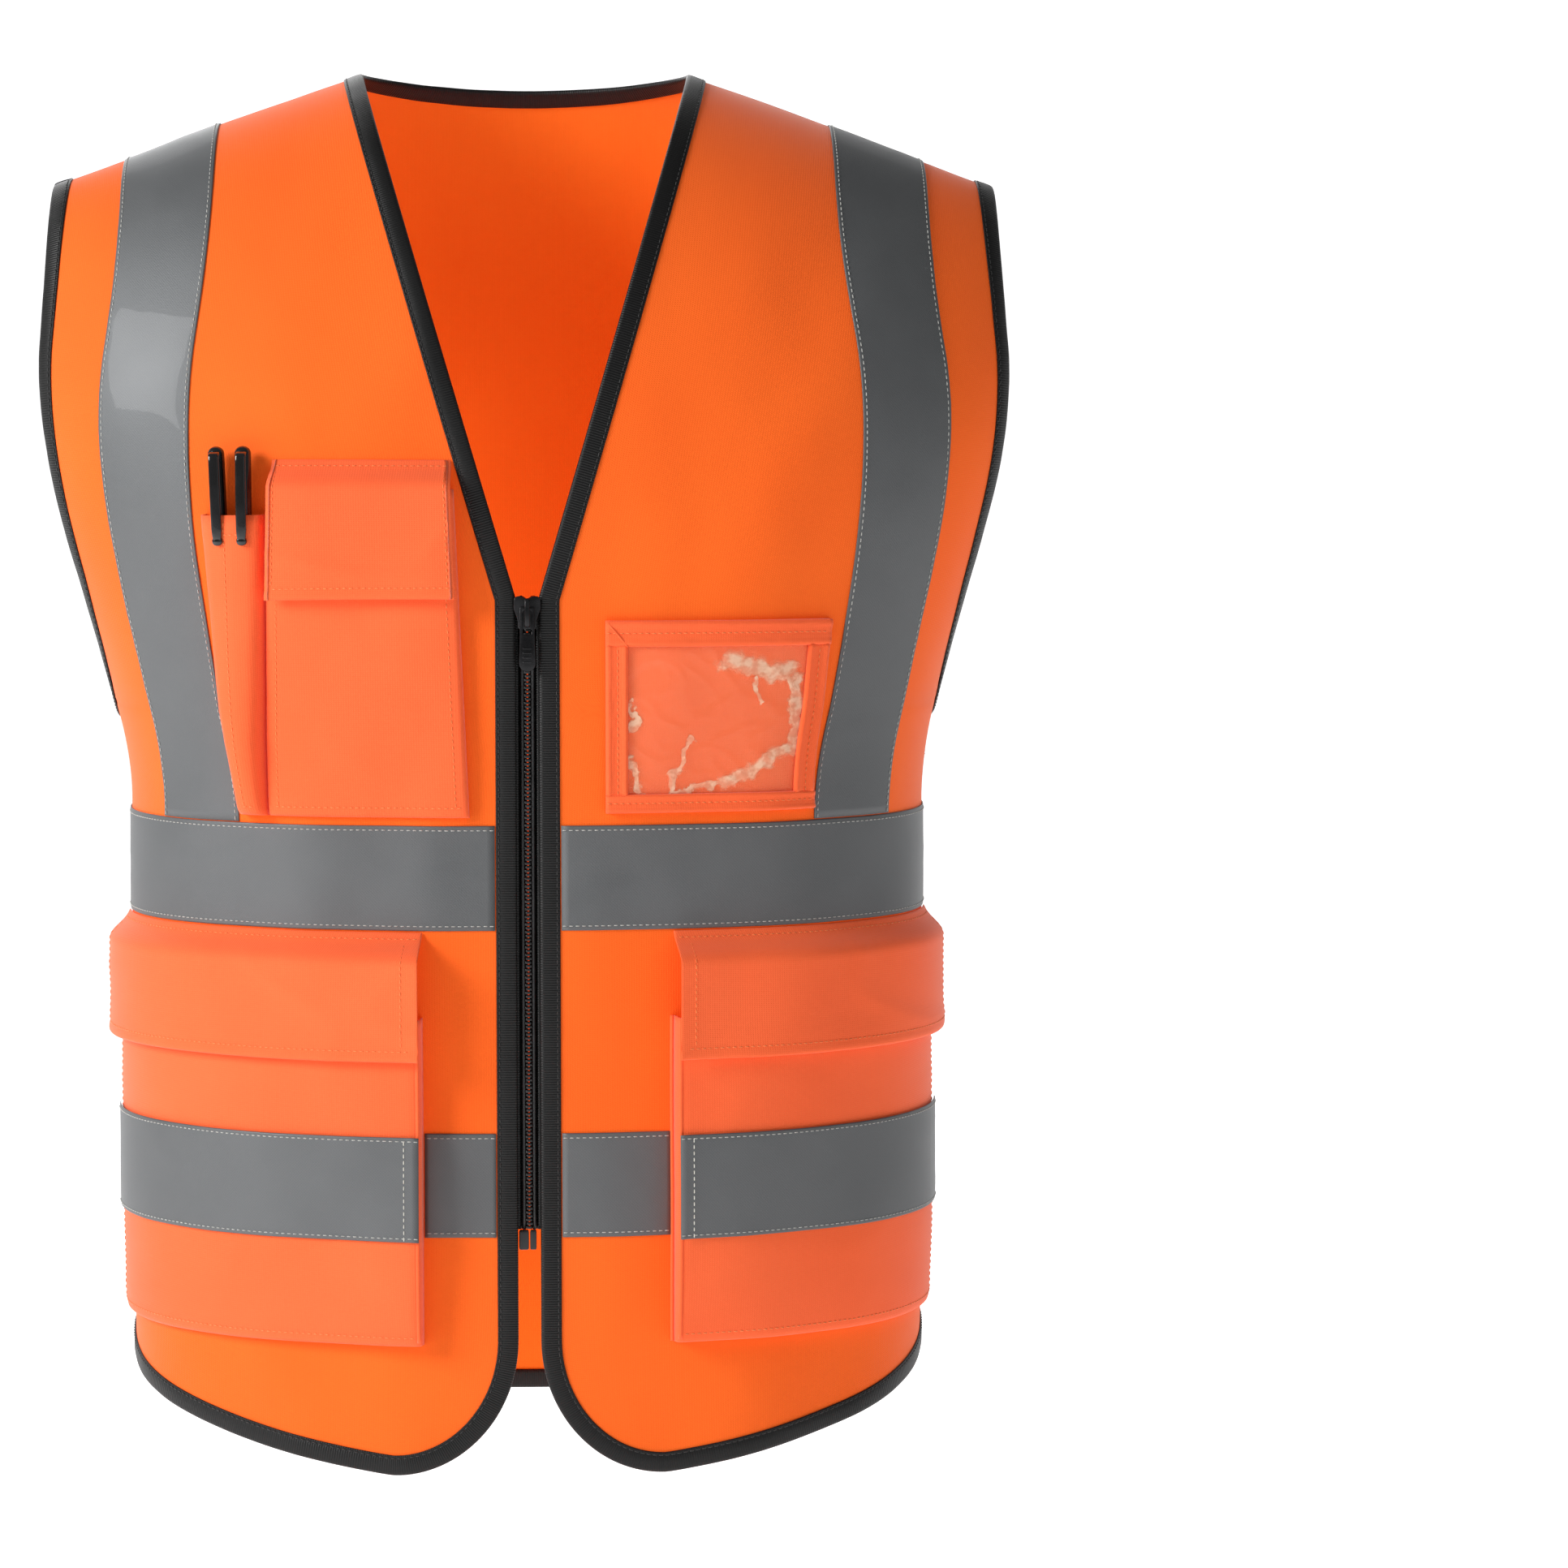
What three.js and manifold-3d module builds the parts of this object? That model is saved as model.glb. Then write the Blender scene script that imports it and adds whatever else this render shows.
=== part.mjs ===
// High-visibility work vest, zipped and standing open as if it were worn.
// Millimetres, +Z up. The front faces -Y and the wearer's left is +X.
// Heights are measured up from the lowest point of the front hem. The finished group is lowered
// at the end, so that the origin lies midway between the middles of the two shoulder seams.
import * as THREE from "three";
import { mergeVertices } from "three/addons/utils/BufferGeometryUtils.js";
import Module from "manifold-3d";

const wasm = await Module();
wasm.setup();

// ---- Driving sizes -------------------------------------------------------------------------

// The body that the cloth hangs round
const waistHalfWidth = 199;
const flare = 57; // how much wider the upper body is to each side
const flareBelowArmpit = 52;
const flareAboveArmpit = 178;
const frontDepth = 140; // side seam to the zip
const backDepth = 110;
const squareness = 2.4; // exponent of the cross-section: 2 is an ellipse
const seamGap = 0.6; // between front and back at the side and shoulder seams

// Lengths, from the hem up
const hemRise = 46; // the hem is this much higher at the side seams
const backHemDrop = 6; // the back hem hangs lower than the front
const sideLength = 326; // side seam, hem to armpit
const armholeDepth = 256;
const shoulderDrop = 56;
const rollHeight = 178; // the chest starts to turn over to the shoulder this far below its tip

// Neck and shoulders
const neckHalfWidth = 81;
const tipHalfWidth = 236;
const neckDepth = 256;
const backNeckDrop = 5;
const napeRounding = 40; // rounds the ridge where the two shoulder lines would meet

// Front edges
const zipGap = 11; // between the two finished front edges
const cornerWidth = 61;
const cornerHeight = 67;

// Cloth and trims
const clothThickness = 1;
const trimThickness = 0.6;
const layerGap = 0.5;
const bindingWidth = 10;
const bindingThickness = 0.7;
const bindingGap = 0.5;
const edgeInset = 1.8; // cloth stops this far short of the finished edge, inside its binding

// Reflective tapes
const tapeWidth = 50.8;
const upperBandBelowArmpit = 54;
const backBandRaise = 26; // the back's upper band sits higher than the front's
const lowerBandHeight = 117.5; // hem to the lower band's bottom edge
const tapeInsetWaist = 39; // armhole edge to the middle of the upright tape
const tapeInsetShoulder = 60;

// Chest pocket, on the wearer's right
const chestPocketAboveBand = 4;
const chestPocketHeight = 158;
const chestPocketDepth = 8;
const chestFlapHeight = 66;
const flapAboveMouth = 14;
const chestInsetBottom = 28; // centre line to the pocket's inner edge
const chestInsetTop = 35;
const penPocketToTape = { bottom: 3, top: 8 };
const penPocketWidth = 30;
const penPocketHeight = 146;
const penPocketDepthMouth = 11.5;
const penPocketDepthBottom = 19;

// Pens
const penDiameter = 8;
const penLength = 122;
const penSpacingHead = 12;
const penSpacingFoot = 8.6;
const penAbovePocket = 34;
const penCapLength = 50;
const penTaperLength = 22; // the barrel thins from here to its writing point
const penStep = 0.4; // the barrel is this much thinner than the cap
const penClipLength = 47;
const penClipWidth = 5;
const penClipThickness = 2;
const penClipArm = 3.5; // height of the arm that joins the clip to the cap

// Badge pocket, on the wearer's left
const badgeInset = 37.5; // centre line to its inner edge
const badgeToTape = { bottom: 1.5, top: 8 }; // its outer edge to the upright tape
const badgeHeight = 93;
const badgeAboveBand = 6;
const badgeFrame = { top: 12.5, bottom: 9, inner: 10.5, outer: 10.5 };
const windowThickness = 0.5;
const windowInset = 2; // the window's own edge lies this far inside the pocket's

// Lower pockets, the wearer's right and left
const pocketInset = { right: 51, left: 70 };
const pocketBottom = 65;
const pocketHeight = 160;
const pocketDepthInner = 16;
const pocketDepthRear = 6;
const pocketRearClearance = 15; // kept in front of the side seam
const flapHeight = 61;
const flapBelowBand = 0.8; // the upper band's lower edge to the flap's seam

// Zip
const zipBottom = 113;
const toothPitch = 3.7;
const toothHeight = 1.5;
const toothReach = 1.2; // each tooth passes the centre line by this
const toothThickness = 2.6;
const chainHalfWidth = 3.4;
const cordReach = 1.6; // from the centre line to the cord that the teeth are moulded on
const zipTapeHalfWidth = 14;
const sliderWidth = 13;
const sliderHeight = 16;
const sliderAboveV = 1;
const sliderClearance = 0.4; // to the bindings and the teeth that it runs over
const sliderPlate = 1.4;
const sliderBackWidth = 9;
const wedge = { inner: 1.7, outer: 3.2 }; // the post that joins the two plates between the combs
const bridgeWidth = 2.4;
const bridgeRoom = 2.4; // between the front plate and the bridge that the pull hangs on
const bridgeThickness = 1.1;
const bridgeFoot = 1.4; // height of each of the bridge's two feet
const pivotBelowTop = 6; // slider's top to the pull's pivot
const pullLength = 31;
const pullWidth = 8;
const pullThickness = 1.4;
const pullSlot = { width: 4.4, length: 11.7, below: 1.6 }; // below the pull's top edge
const stopHeight = 2.1;
const retainerWidth = 4.8;
const retainerDrop = 2; // the box and pin reach this far below the zip

// Press closures on the flaps
const closureHeight = 14;
const closureAboveEdge = 3; // the closure stops this far above the flap's lower edge
const closureThickness = 1;

// ---- Heights that follow -------------------------------------------------------------------

const armpitZ = hemRise + sideLength;
const tipZ = armpitZ + armholeDepth;
const neckZ = tipZ + shoulderDrop;
const rollStart = tipZ - rollHeight;
const vBottom = neckZ - neckDepth;
const ridgeAt = (x) => Math.hypot(x, napeRounding);
const shoulderSlope = shoulderDrop / (ridgeAt(tipHalfWidth) - ridgeAt(neckHalfWidth));
const shoulderMiddle = (neckZ + tipZ) / 2;
const upperBandTop = armpitZ - upperBandBelowArmpit;
const upperBandBottom = upperBandTop - tapeWidth;
const lowerBandTop = lowerBandHeight + tapeWidth;
const trimBase = clothThickness + layerGap;
const trimTop = trimBase + trimThickness;
const seamLevel = rollStart + 90; // levels above rollStart count degrees of the roll

const FRONT = -1;
const BACK = 1;
const RIGHT = -1;
const LEFT = 1;
const sides = [
  ["right", RIGHT],
  ["left", LEFT],
];

// ---- Materials -----------------------------------------------------------------------------

const finish = (color, roughness, metalness = 0, extra = {}) => () =>
  new THREE.MeshStandardMaterial({ color, roughness, metalness, ...extra });
const orangeCloth = finish("#ff5a14", 0.85);
const pocketCloth = finish("#ff6a2c", 0.85);
const reflectiveTape = finish("#7d8082", 0.45, 0.2);
const blackBinding = finish("#0b0b0b", 0.55);
const blackPlastic = finish("#101010", 0.35);
const clearSheet = finish("#ffd0b8", 0.12, 0, { transparent: true, opacity: 0.45 });
const zipMetal = finish("#1b1b1b", 0.35, 0.6);

// ---- Shape of the body ---------------------------------------------------------------------

const lerp = THREE.MathUtils.lerp;
const clamp01 = (t) => Math.min(1, Math.max(0, t));
const power = (value, exponent) => Math.max(value, 0) ** exponent;

/** Half the width of the body at a height. */
const halfWidthAt = (z) =>
  waistHalfWidth +
  flare * THREE.MathUtils.smoothstep(z, armpitZ - flareBelowArmpit, armpitZ + flareAboveArmpit);

/** Height of the shoulder line above a point x, carried on inside the neck. */
const shoulderZ = (x) => neckZ - (ridgeAt(x) - ridgeAt(neckHalfWidth)) * shoulderSlope;

/** How far out of 1 the cross-section reaches forward at x. */
function reachAt(x, z) {
  const across = Math.min(Math.abs(x) / halfWidthAt(z), 1);
  return Math.max(power(1 - across ** squareness, 1 / squareness), 1e-3);
}

/** How far a height is up the roll: 1 on the shoulder line. */
const rollAt = (x, z) => Math.max((z - rollStart) / (shoulderZ(x) - rollStart), 0);

/** Slope of the body's implicit surface, which points outward. */
function gradientAt(face, x, y, z) {
  const depth = face === FRONT ? frontDepth : backDepth;
  const width = halfWidthAt(z);
  const widening = halfWidthAt(z + 0.5) - halfWidthAt(z - 0.5);
  const reach = reachAt(x, z);
  const roll = rollAt(x, z);
  const rise = shoulderZ(x) - rollStart;
  const across = Math.min(Math.abs(x) / width, 1);
  const sign = x < 0 ? -1 : 1;
  const fall = (shoulderSlope * x) / ridgeAt(x);
  const steepness = across ** (squareness - 1) * reach ** (1 - squareness);
  const flat = 1 - roll * roll;
  return new THREE.Vector3(
    (roll * roll * reach * reach * fall) / rise +
      (flat * reach * steepness * sign) / width,
    y / depth ** 2,
    (roll * reach * reach) / rise - (flat * reach * steepness * across * widening) / width,
  );
}

/** How far forward or back the body reaches at x and z. */
function depthAt(face, x, z) {
  const roll = rollAt(x, z);
  const depth = face === FRONT ? frontDepth : backDepth;
  return face * depth * reachAt(x, z) * Math.sqrt(Math.max(1 - roll * roll, 0));
}

/** The outward direction of the body's surface. */
const normalAt = (face, x, z) => gradientAt(face, x, depthAt(face, x, z), z).normalize();

/** Moves a point on to the body's surface. */
function settle(face, point) {
  const depth = face === FRONT ? frontDepth : backDepth;
  for (let i = 0; i < 6; i++) {
    const y = face * Math.max(face * point.y - seamGap / 2, 0);
    const roll = rollAt(point.x, point.z);
    const reach = reachAt(point.x, point.z);
    const slope = gradientAt(face, point.x, y, point.z).multiplyScalar(2);
    const excess = (y / depth) ** 2 - (1 - roll * roll) * reach * reach;
    point.addScaledVector(slope, -excess / Math.max(slope.lengthSq(), 1e-12));
  }
  return point;
}

/** A point on the body at x and z, moved outward by offset. */
function bodyPoint(face, x, z, offset = 0) {
  const y = (face * seamGap) / 2 + depthAt(face, x, z);
  return new THREE.Vector3(x, y, z).addScaledVector(normalAt(face, x, z), offset);
}

/** Height at x of a level: millimetres up to rollStart, and degrees of the roll above it. */
function levelZ(level, x, rollTop = 90) {
  if (level <= rollStart) return level;
  const angle = THREE.MathUtils.degToRad(((level - rollStart) * rollTop) / 90);
  return rollStart + (shoulderZ(x) - rollStart) * Math.sin(angle);
}

/** The x on an edge, given as x by height, where a level meets it. */
function edgeAtLevel(edge, level) {
  let x = edge(Math.min(level, rollStart));
  for (let i = 0; i < 12; i++) x = edge(levelZ(level, x));
  return x;
}

/** Distance round a nominal quarter section, up to evenly stepped shares of its half width. */
const quarter = [0];
const quarterSteps = 240;
const quarterAngle = (step) => ((Math.PI / 2) * step) / quarterSteps;
const acrossAt = (angle) => Math.sin(angle) ** (2 / squareness);
for (let step = 1; step <= quarterSteps; step++) {
  const point = (angle) => [
    waistHalfWidth * acrossAt(angle),
    frontDepth * Math.cos(angle) ** (2 / squareness),
  ];
  const [xa, ya] = point(quarterAngle(step - 1));
  const [xb, yb] = point(quarterAngle(step));
  quarter.push(quarter[step - 1] + Math.hypot(xb - xa, yb - ya));
}

/** Distance round the nominal section at a share of the half width. */
function distanceAt(across) {
  const step = (Math.asin(Math.min(across, 1) ** (squareness / 2)) / (Math.PI / 2)) * quarterSteps;
  const low = Math.min(Math.floor(step), quarterSteps - 1);
  return lerp(quarter[low], quarter[low + 1], step - low);
}

/** The share of the half width at a distance round the nominal section. */
function acrossAtDistance(distance) {
  let low = 0;
  while (low < quarterSteps - 1 && quarter[low + 1] < distance) low++;
  const step = low + (distance - quarter[low]) / (quarter[low + 1] - quarter[low]);
  return acrossAt(quarterAngle(Math.min(step, quarterSteps)));
}

/** Spaces a place between two x values evenly round the curved section. */
function between(xa, xb, share, z) {
  const width = halfWidthAt(z);
  const round = (x) => Math.sign(x) * distanceAt(Math.abs(x) / width);
  const distance = lerp(round(xa), round(xb), share);
  return Math.sign(distance) * width * acrossAtDistance(Math.abs(distance));
}

// ---- Edges of the cut ----------------------------------------------------------------------

/** The front edge: straight beside the zip, then the side of the V neck. */
const frontEdge = (z) =>
  zipGap / 2 + (neckHalfWidth - zipGap / 2) * clamp01((z - vBottom) / neckDepth);

const tipReach = power(
  1 - (tipHalfWidth / (waistHalfWidth + flare)) ** squareness,
  1 / squareness,
);

/** The outer edge: the side seam, then the armhole. */
function outerEdge(z, inset = 0) {
  const climb = clamp01((z + inset - armpitZ) / armholeDepth);
  const reach = tipReach * Math.sqrt(1 - (1 - climb) ** 2);
  return halfWidthAt(z) * power(1 - reach ** squareness, 1 / squareness);
}

/** Moves along a level by a distance on the surface, and gives the x that it reaches. */
function stepAlong(face, level, start, distance) {
  const width = halfWidthAt(levelZ(level, start));
  const xAt = (round) => width * acrossAtDistance(Math.max(round, 0));
  const here = (round) => bodyPoint(face, xAt(round), levelZ(level, xAt(round)));
  const stride = Math.sign(distance);
  let round = distanceAt(start / width);
  let left = Math.abs(distance);
  let from = here(round);
  for (;;) {
    const to = here(round + stride);
    const length = to.distanceTo(from);
    if (length >= left) return xAt(round + (stride * left) / length);
    round += stride;
    left -= length;
    from = to;
  }
}

/** The outer edge of the cloth itself, which stops inside the armhole's binding. */
const clothOuter = (face) => (z) => {
  if (z + edgeInset <= armpitZ) return outerEdge(z);
  return stepAlong(face, Math.min(z, rollStart), outerEdge(z, edgeInset), -edgeInset);
};

/** The upright tape's middle line. */
const tapeMiddle = (z) =>
  outerEdge(z) - lerp(tapeInsetWaist, tapeInsetShoulder, THREE.MathUtils.smoothstep(z, armpitZ, tipZ));

const cornerCentre = zipGap / 2 + cornerWidth;
const hemAngles = [0, 18, 36, 54, 72];

/** Height of the front hem at a share of the way from the rounded corner to the side seam. */
const frontHem = (share) => hemRise * share ** 1.2;

/** Height of the back hem at a share of the way from the middle to the side seam. */
const backHem = (share) => (hemRise + backHemDrop) * Math.abs(share) ** 2.2 - backHemDrop;

/** Degrees of roll that the back has made where it meets the neck edge, or cloth inset from it. */
function backRollTop(x, inset = 0) {
  const across = Math.min(Math.abs(x) / (neckHalfWidth + inset), 1);
  if (across === 1) return 90;
  const z = neckZ - (backNeckDrop + 3 * inset) * (1 - across * across);
  return THREE.MathUtils.radToDeg(Math.asin(clamp01((z - rollStart) / (shoulderZ(x) - rollStart))));
}
const backLevelZ = (level, x, inset = 0) => levelZ(level, x, backRollTop(x, inset));

/** Levels shared by all pieces, so that layers on each other are bent at the same places. */
const sharedLevels = [
  ...[0, 0.35, 0.7].map((share) => lerp(armpitZ - flareBelowArmpit, armpitZ, share)),
  armpitZ - edgeInset,
  ...[0, 0.05, 0.18, 0.4, 0.7, 1].map((share) => lerp(armpitZ, rollStart, share)),
  ...(vBottom < rollStart - 8 ? [vBottom] : []),
  ...[14, 28, 41, 53, 64, 73, 80, 85.5, 90].map((angle) => rollStart + angle),
].sort((a, b) => a - b);

/** The shared levels strictly inside a stretch, with its two ends. */
const levelsBetween = (low, high) => [
  low,
  ...sharedLevels.filter((level) => level > low + 1 && level < high - 1),
  high,
];

// ---- Cloth ---------------------------------------------------------------------------------

/** A closed solid from points and triangles, turned so that its faces point out. */
function solid(points, index) {
  const geometry = new THREE.BufferGeometry();
  geometry.setAttribute(
    "position",
    new THREE.Float32BufferAttribute(points.flatMap((p) => p.toArray()), 3),
  );
  let volume = 0;
  for (let i = 0; i < index.length; i += 3) {
    const [a, b, c] = [0, 1, 2].map((k) => points[index[i + k]]);
    volume += a.dot(b.clone().cross(c));
  }
  geometry.setIndex(volume < 0 ? index.reverse() : index);
  geometry.computeVertexNormals();
  return geometry;
}

/** A closed shell between an outer and an inner grid of points. */
function shell(outer, inner) {
  const rows = outer.length - 1;
  const columns = outer[0].length - 1;
  const count = (rows + 1) * (columns + 1);
  const at = (layer, row, column) => layer * count + row * (columns + 1) + column;
  const index = [];
  const quad = (a, b, c, d, turned = false) =>
    turned ? index.push(a, b, d, b, c, d) : index.push(a, b, c, a, c, d);
  for (let r = 0; r < rows; r++) {
    for (let c = 0; c < columns; c++) {
      // the shorter diagonal lies closer to the curved cloth
      const rising = outer[r][c].distanceTo(outer[r + 1][c + 1]);
      const turned = rising > outer[r][c + 1].distanceTo(outer[r + 1][c]);
      quad(at(0, r, c), at(0, r, c + 1), at(0, r + 1, c + 1), at(0, r + 1, c), turned);
      quad(at(1, r, c), at(1, r + 1, c), at(1, r + 1, c + 1), at(1, r, c + 1), turned);
    }
    quad(at(0, r + 1, 0), at(1, r + 1, 0), at(1, r, 0), at(0, r, 0));
    quad(at(0, r, columns), at(1, r, columns), at(1, r + 1, columns), at(0, r + 1, columns));
  }
  for (let c = 0; c < columns; c++) {
    quad(at(0, 0, c), at(1, 0, c), at(1, 0, c + 1), at(0, 0, c + 1));
    quad(at(0, rows, c + 1), at(1, rows, c + 1), at(1, rows, c), at(0, rows, c));
  }
  return solid([...outer.flat(), ...inner.flat()], index);
}

const shares = (count) => Array.from({ length: count + 1 }, (_, i) => i / count);

/** Cloth over a grid of places, from the offset base to the offset top. */
function cloth(face, places, base, top) {
  const offsetOf = (offset, row, column) =>
    typeof offset === "function" ? offset(row, column) : offset;
  const layer = (offset) =>
    places.map((row, r) => row.map((p, c) => bodyPoint(face, p.x, p.z, offsetOf(offset, r, c))));
  return shell(layer(top), layer(base));
}

/** Places across a piece whose edges are given as x by height, at some levels. */
const placesBetween = (side, edgeA, edgeB, levels, columns) =>
  levels.map((level) => {
    const xa = edgeAtLevel(edgeA, level);
    const xb = edgeAtLevel(edgeB, level);
    return columns.map((share) => {
      const x = between(xa, xb, share, levelZ(level, (xa + xb) / 2));
      return { x: side * x, z: levelZ(level, x) };
    });
  });

/** Places across a piece at some heights, for pieces whose rows stay level. */
const placesAt = (side, edgeA, edgeB, heights, columns) =>
  heights.map((z) =>
    columns.map((share) => ({ x: side * between(edgeA(z), edgeB(z), share, z), z })),
  );

/** Heights from low to high, no further apart than a step. */
const heightsBetween = (low, high, step = 19) =>
  shares(Math.ceil((high - low) / step)).map((share) => lerp(low, high, share));

/** A sewn pouch: a front sheet that side and bottom walls hold off the body, open at the top. */
function pouch(side, edgeA, edgeB, heights, columns, fullDepth) {
  const layer = (wall) => {
    const direction = Math.sign(edgeB(heights[0]) - edgeA(heights[0]));
    const insetA = (z) => edgeA(z) + direction * wall;
    const insetB = (z) => edgeB(z) - direction * wall;
    const low = heights[0] + wall;
    const up = [low, low, ...heights.slice(1)];
    const across = [columns[0], ...columns, columns.at(-1)];
    return placesAt(side, insetA, insetB, up, across).map((row, r) =>
      row.map((p, c) => {
        const onBody = r === 0 || c === 0 || c === across.length - 1;
        const depth = fullDepth(across[c], (up[r] - low) / (heights.at(-1) - low));
        return bodyPoint(FRONT, p.x, p.z, onBody ? trimBase : trimBase + depth - wall);
      }),
    );
  };
  return shell(layer(0), layer(clothThickness));
}

/** Folded binding round a finished edge, with one leg on each face of the cloth. */
function binding(face, edge, inside) {
  const points = edge.map((p) => bodyPoint(face, p.x, p.z));
  const target = bodyPoint(face, inside.x, inside.z);
  const middle = Math.floor(points.length / 2);
  const frames = points.map((point, i) => {
    const along = points[Math.min(i + 1, points.length - 1)]
      .clone()
      .sub(points[Math.max(i - 1, 0)])
      .normalize();
    const normal = normalAt(face, edge[i].x, edge[i].z);
    return { point, normal, inward: normal.clone().cross(along).normalize() };
  });
  const turned = target.sub(points[middle]).dot(frames[middle].inward) < 0 ? -1 : 1;
  for (const frame of frames) {
    frame.inward.multiplyScalar(turned);
    frame.end = settle(face, frame.point.clone().addScaledVector(frame.inward, bindingWidth));
    frame.endNormal = normalAt(face, frame.end.x, frame.end.z);
  }
  const high = clothThickness + bindingGap;
  const section = [
    [0, high + bindingThickness],
    [bindingWidth, high + bindingThickness],
    [bindingWidth, high],
    [bindingThickness, high],
    [bindingThickness, -bindingGap],
    [bindingWidth, -bindingGap],
    [bindingWidth, -bindingGap - bindingThickness],
    [0, -bindingGap - bindingThickness],
  ];
  const loops = frames.map(({ point, normal, end, endNormal }) =>
    section.map(([across, up]) => {
      const share = across / bindingWidth;
      const lift = normal.clone().lerp(endNormal, share).normalize();
      return point.clone().lerp(end, share).addScaledVector(lift, up);
    }),
  );
  const size = section.length;
  const index = [];
  for (let i = 0; i + 1 < loops.length; i++) {
    for (let k = 0; k < size; k++) {
      const a = i * size + k;
      const b = i * size + ((k + 1) % size);
      index.push(a, b, b + size, a, b + size, a + size);
    }
  }
  const cap = THREE.ShapeUtils.triangulateShape(
    section.map(([x, y]) => new THREE.Vector2(x, y)),
    [],
  );
  const last = (loops.length - 1) * size;
  for (const [a, b, c] of cap) index.push(c, b, a, last + a, last + b, last + c);
  // the cap's own winding decides which way round the sides have to run
  const clockwise = THREE.ShapeUtils.area(section.map(([x, y]) => new THREE.Vector2(x, y))) < 0;
  if (clockwise) {
    const capStart = index.length - cap.length * 6;
    for (let i = capStart; i < index.length; i += 3) {
      [index[i], index[i + 2]] = [index[i + 2], index[i]];
    }
  }
  return solid(loops.flat(), index);
}

// ---- Hard pieces ---------------------------------------------------------------------------

/** A geometry as a manifold-3d solid. */
function toManifold(geometry) {
  const bare = geometry.index ? geometry.clone() : geometry;
  bare.deleteAttribute("normal");
  bare.deleteAttribute("uv");
  const merged = mergeVertices(bare, 1e-4);
  return new wasm.Manifold(
    new wasm.Mesh({
      numProp: 3,
      vertProperties: merged.attributes.position.array,
      triVerts: Uint32Array.from(merged.index.array),
    }),
  );
}

/** A manifold-3d solid as a geometry. */
function toGeometry(manifold) {
  const mesh = manifold.getMesh();
  const geometry = new THREE.BufferGeometry();
  geometry.setAttribute("position", new THREE.BufferAttribute(mesh.vertProperties, 3));
  geometry.setIndex(new THREE.BufferAttribute(mesh.triVerts, 1));
  geometry.computeVertexNormals();
  return geometry;
}

/** A box between two corners. */
function boxBetween([xa, ya, za], [xb, yb, zb]) {
  const geometry = new THREE.BoxGeometry(xb - xa, yb - ya, zb - za);
  return geometry.translate((xa + xb) / 2, (ya + yb) / 2, (za + zb) / 2);
}

/** Boxes that touch, joined into one solid. */
const joined = (...geometries) =>
  toGeometry(geometries.map(toManifold).reduce((whole, piece) => whole.add(piece)));

// ---- Assembly ------------------------------------------------------------------------------

const vest = new THREE.Group();

/** Adds a named piece to the vest, or to a group inside it. */
function add(name, geometry, material, group = vest) {
  const mesh = new THREE.Mesh(geometry, material());
  mesh.name = name;
  group.add(mesh);
}

// ---- Panels --------------------------------------------------------------------------------

const cornerColumns = hemAngles.map((angle) => {
  const turn = THREE.MathUtils.degToRad(angle);
  const x = cornerCentre - (cornerWidth - edgeInset) * Math.cos(turn);
  return { x, z: cornerHeight - (cornerHeight - edgeInset) * Math.sin(turn) };
});
const bindingShare = 0.95; // the last column, so that the armhole's binding lies flat on one
const sideColumns = [...shares(9).slice(0, -1), bindingShare, 1];

/** Share of the way round from the front edge to the side seam at which an x lies. */
function shareOfFront(x) {
  const start = distanceAt((zipGap / 2 + edgeInset) / waistHalfWidth);
  return (distanceAt(x / waistHalfWidth) - start) / (quarter[quarterSteps] - start);
}
const frontColumns = [
  ...cornerColumns.map((p) => shareOfFront(p.x)),
  ...sideColumns.map((share) => shareOfFront(between(cornerCentre, waistHalfWidth, share, 0))),
];

const frontLevels = levelsBetween(cornerHeight + 25, seamLevel);
const hemBlend = [0, 0.5];

for (const [name, side] of sides) {
  const inner = (z) => frontEdge(z) + edgeInset;
  const upper = placesBetween(side, inner, clothOuter(FRONT), frontLevels, frontColumns);
  const hem = [
    ...cornerColumns,
    ...sideColumns.map((share) => ({
      x: between(cornerCentre, waistHalfWidth, share, 0),
      z: frontHem(share) + edgeInset,
    })),
  ];
  const lower = hemBlend.map((blend) =>
    hem.map((p, c) => ({
      x: lerp(side * p.x, upper[0][c].x, blend),
      z: lerp(p.z, upper[0][c].z, blend),
    })),
  );
  add(`front_panel_${name}`, cloth(FRONT, [...lower, ...upper], 0, clothThickness), orangeCloth);
}

/** Places round the back, from the wearer's right to the left, at shares from -1 to 1. */
const backRow = (height, edge, columns) =>
  columns.map((share) => {
    let z = height(0, 0);
    let x = 0;
    for (let i = 0; i < 12; i++) {
      x = between(0, edge(z), Math.abs(share), z);
      z = height(x, share);
    }
    return { x: Math.sign(share) * x, z };
  });

const outerShares = [0, 0.07, ...shares(8).slice(1, -1), bindingShare, 1];

/** Columns across the back that meet the neck's two ends, for cloth or for a finished edge. */
function columnsAcross(neckPoint, tip) {
  const round = (x) => distanceAt(x / halfWidthAt(tipZ));
  const neckShare = round(neckPoint) / round(tip);
  const half = [
    ...[0, 0.3, 0.52, 0.7, 0.84, 0.93, 0.98].map((share) => share * neckShare),
    ...outerShares.map((share) => lerp(neckShare, 1, share)),
  ];
  return [...half.slice(1).reverse().map((share) => -share), ...half];
}
const clothTip = edgeAtLevel(clothOuter(BACK), seamLevel);
const backColumns = columnsAcross(neckHalfWidth + edgeInset, clothTip);
const edgeColumns = columnsAcross(neckHalfWidth, tipHalfWidth);

add(
  "back_panel",
  cloth(
    BACK,
    [
      backRow((_, share) => backHem(share) + 2 * edgeInset, outerEdge, backColumns),
      ...levelsBetween(hemRise + 40, seamLevel).map((level) =>
        backRow((x) => backLevelZ(level, x, edgeInset), clothOuter(BACK), backColumns),
      ),
    ],
    0,
    clothThickness,
  ),
  orangeCloth,
);

// ---- Reflective tapes ----------------------------------------------------------------------

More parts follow.
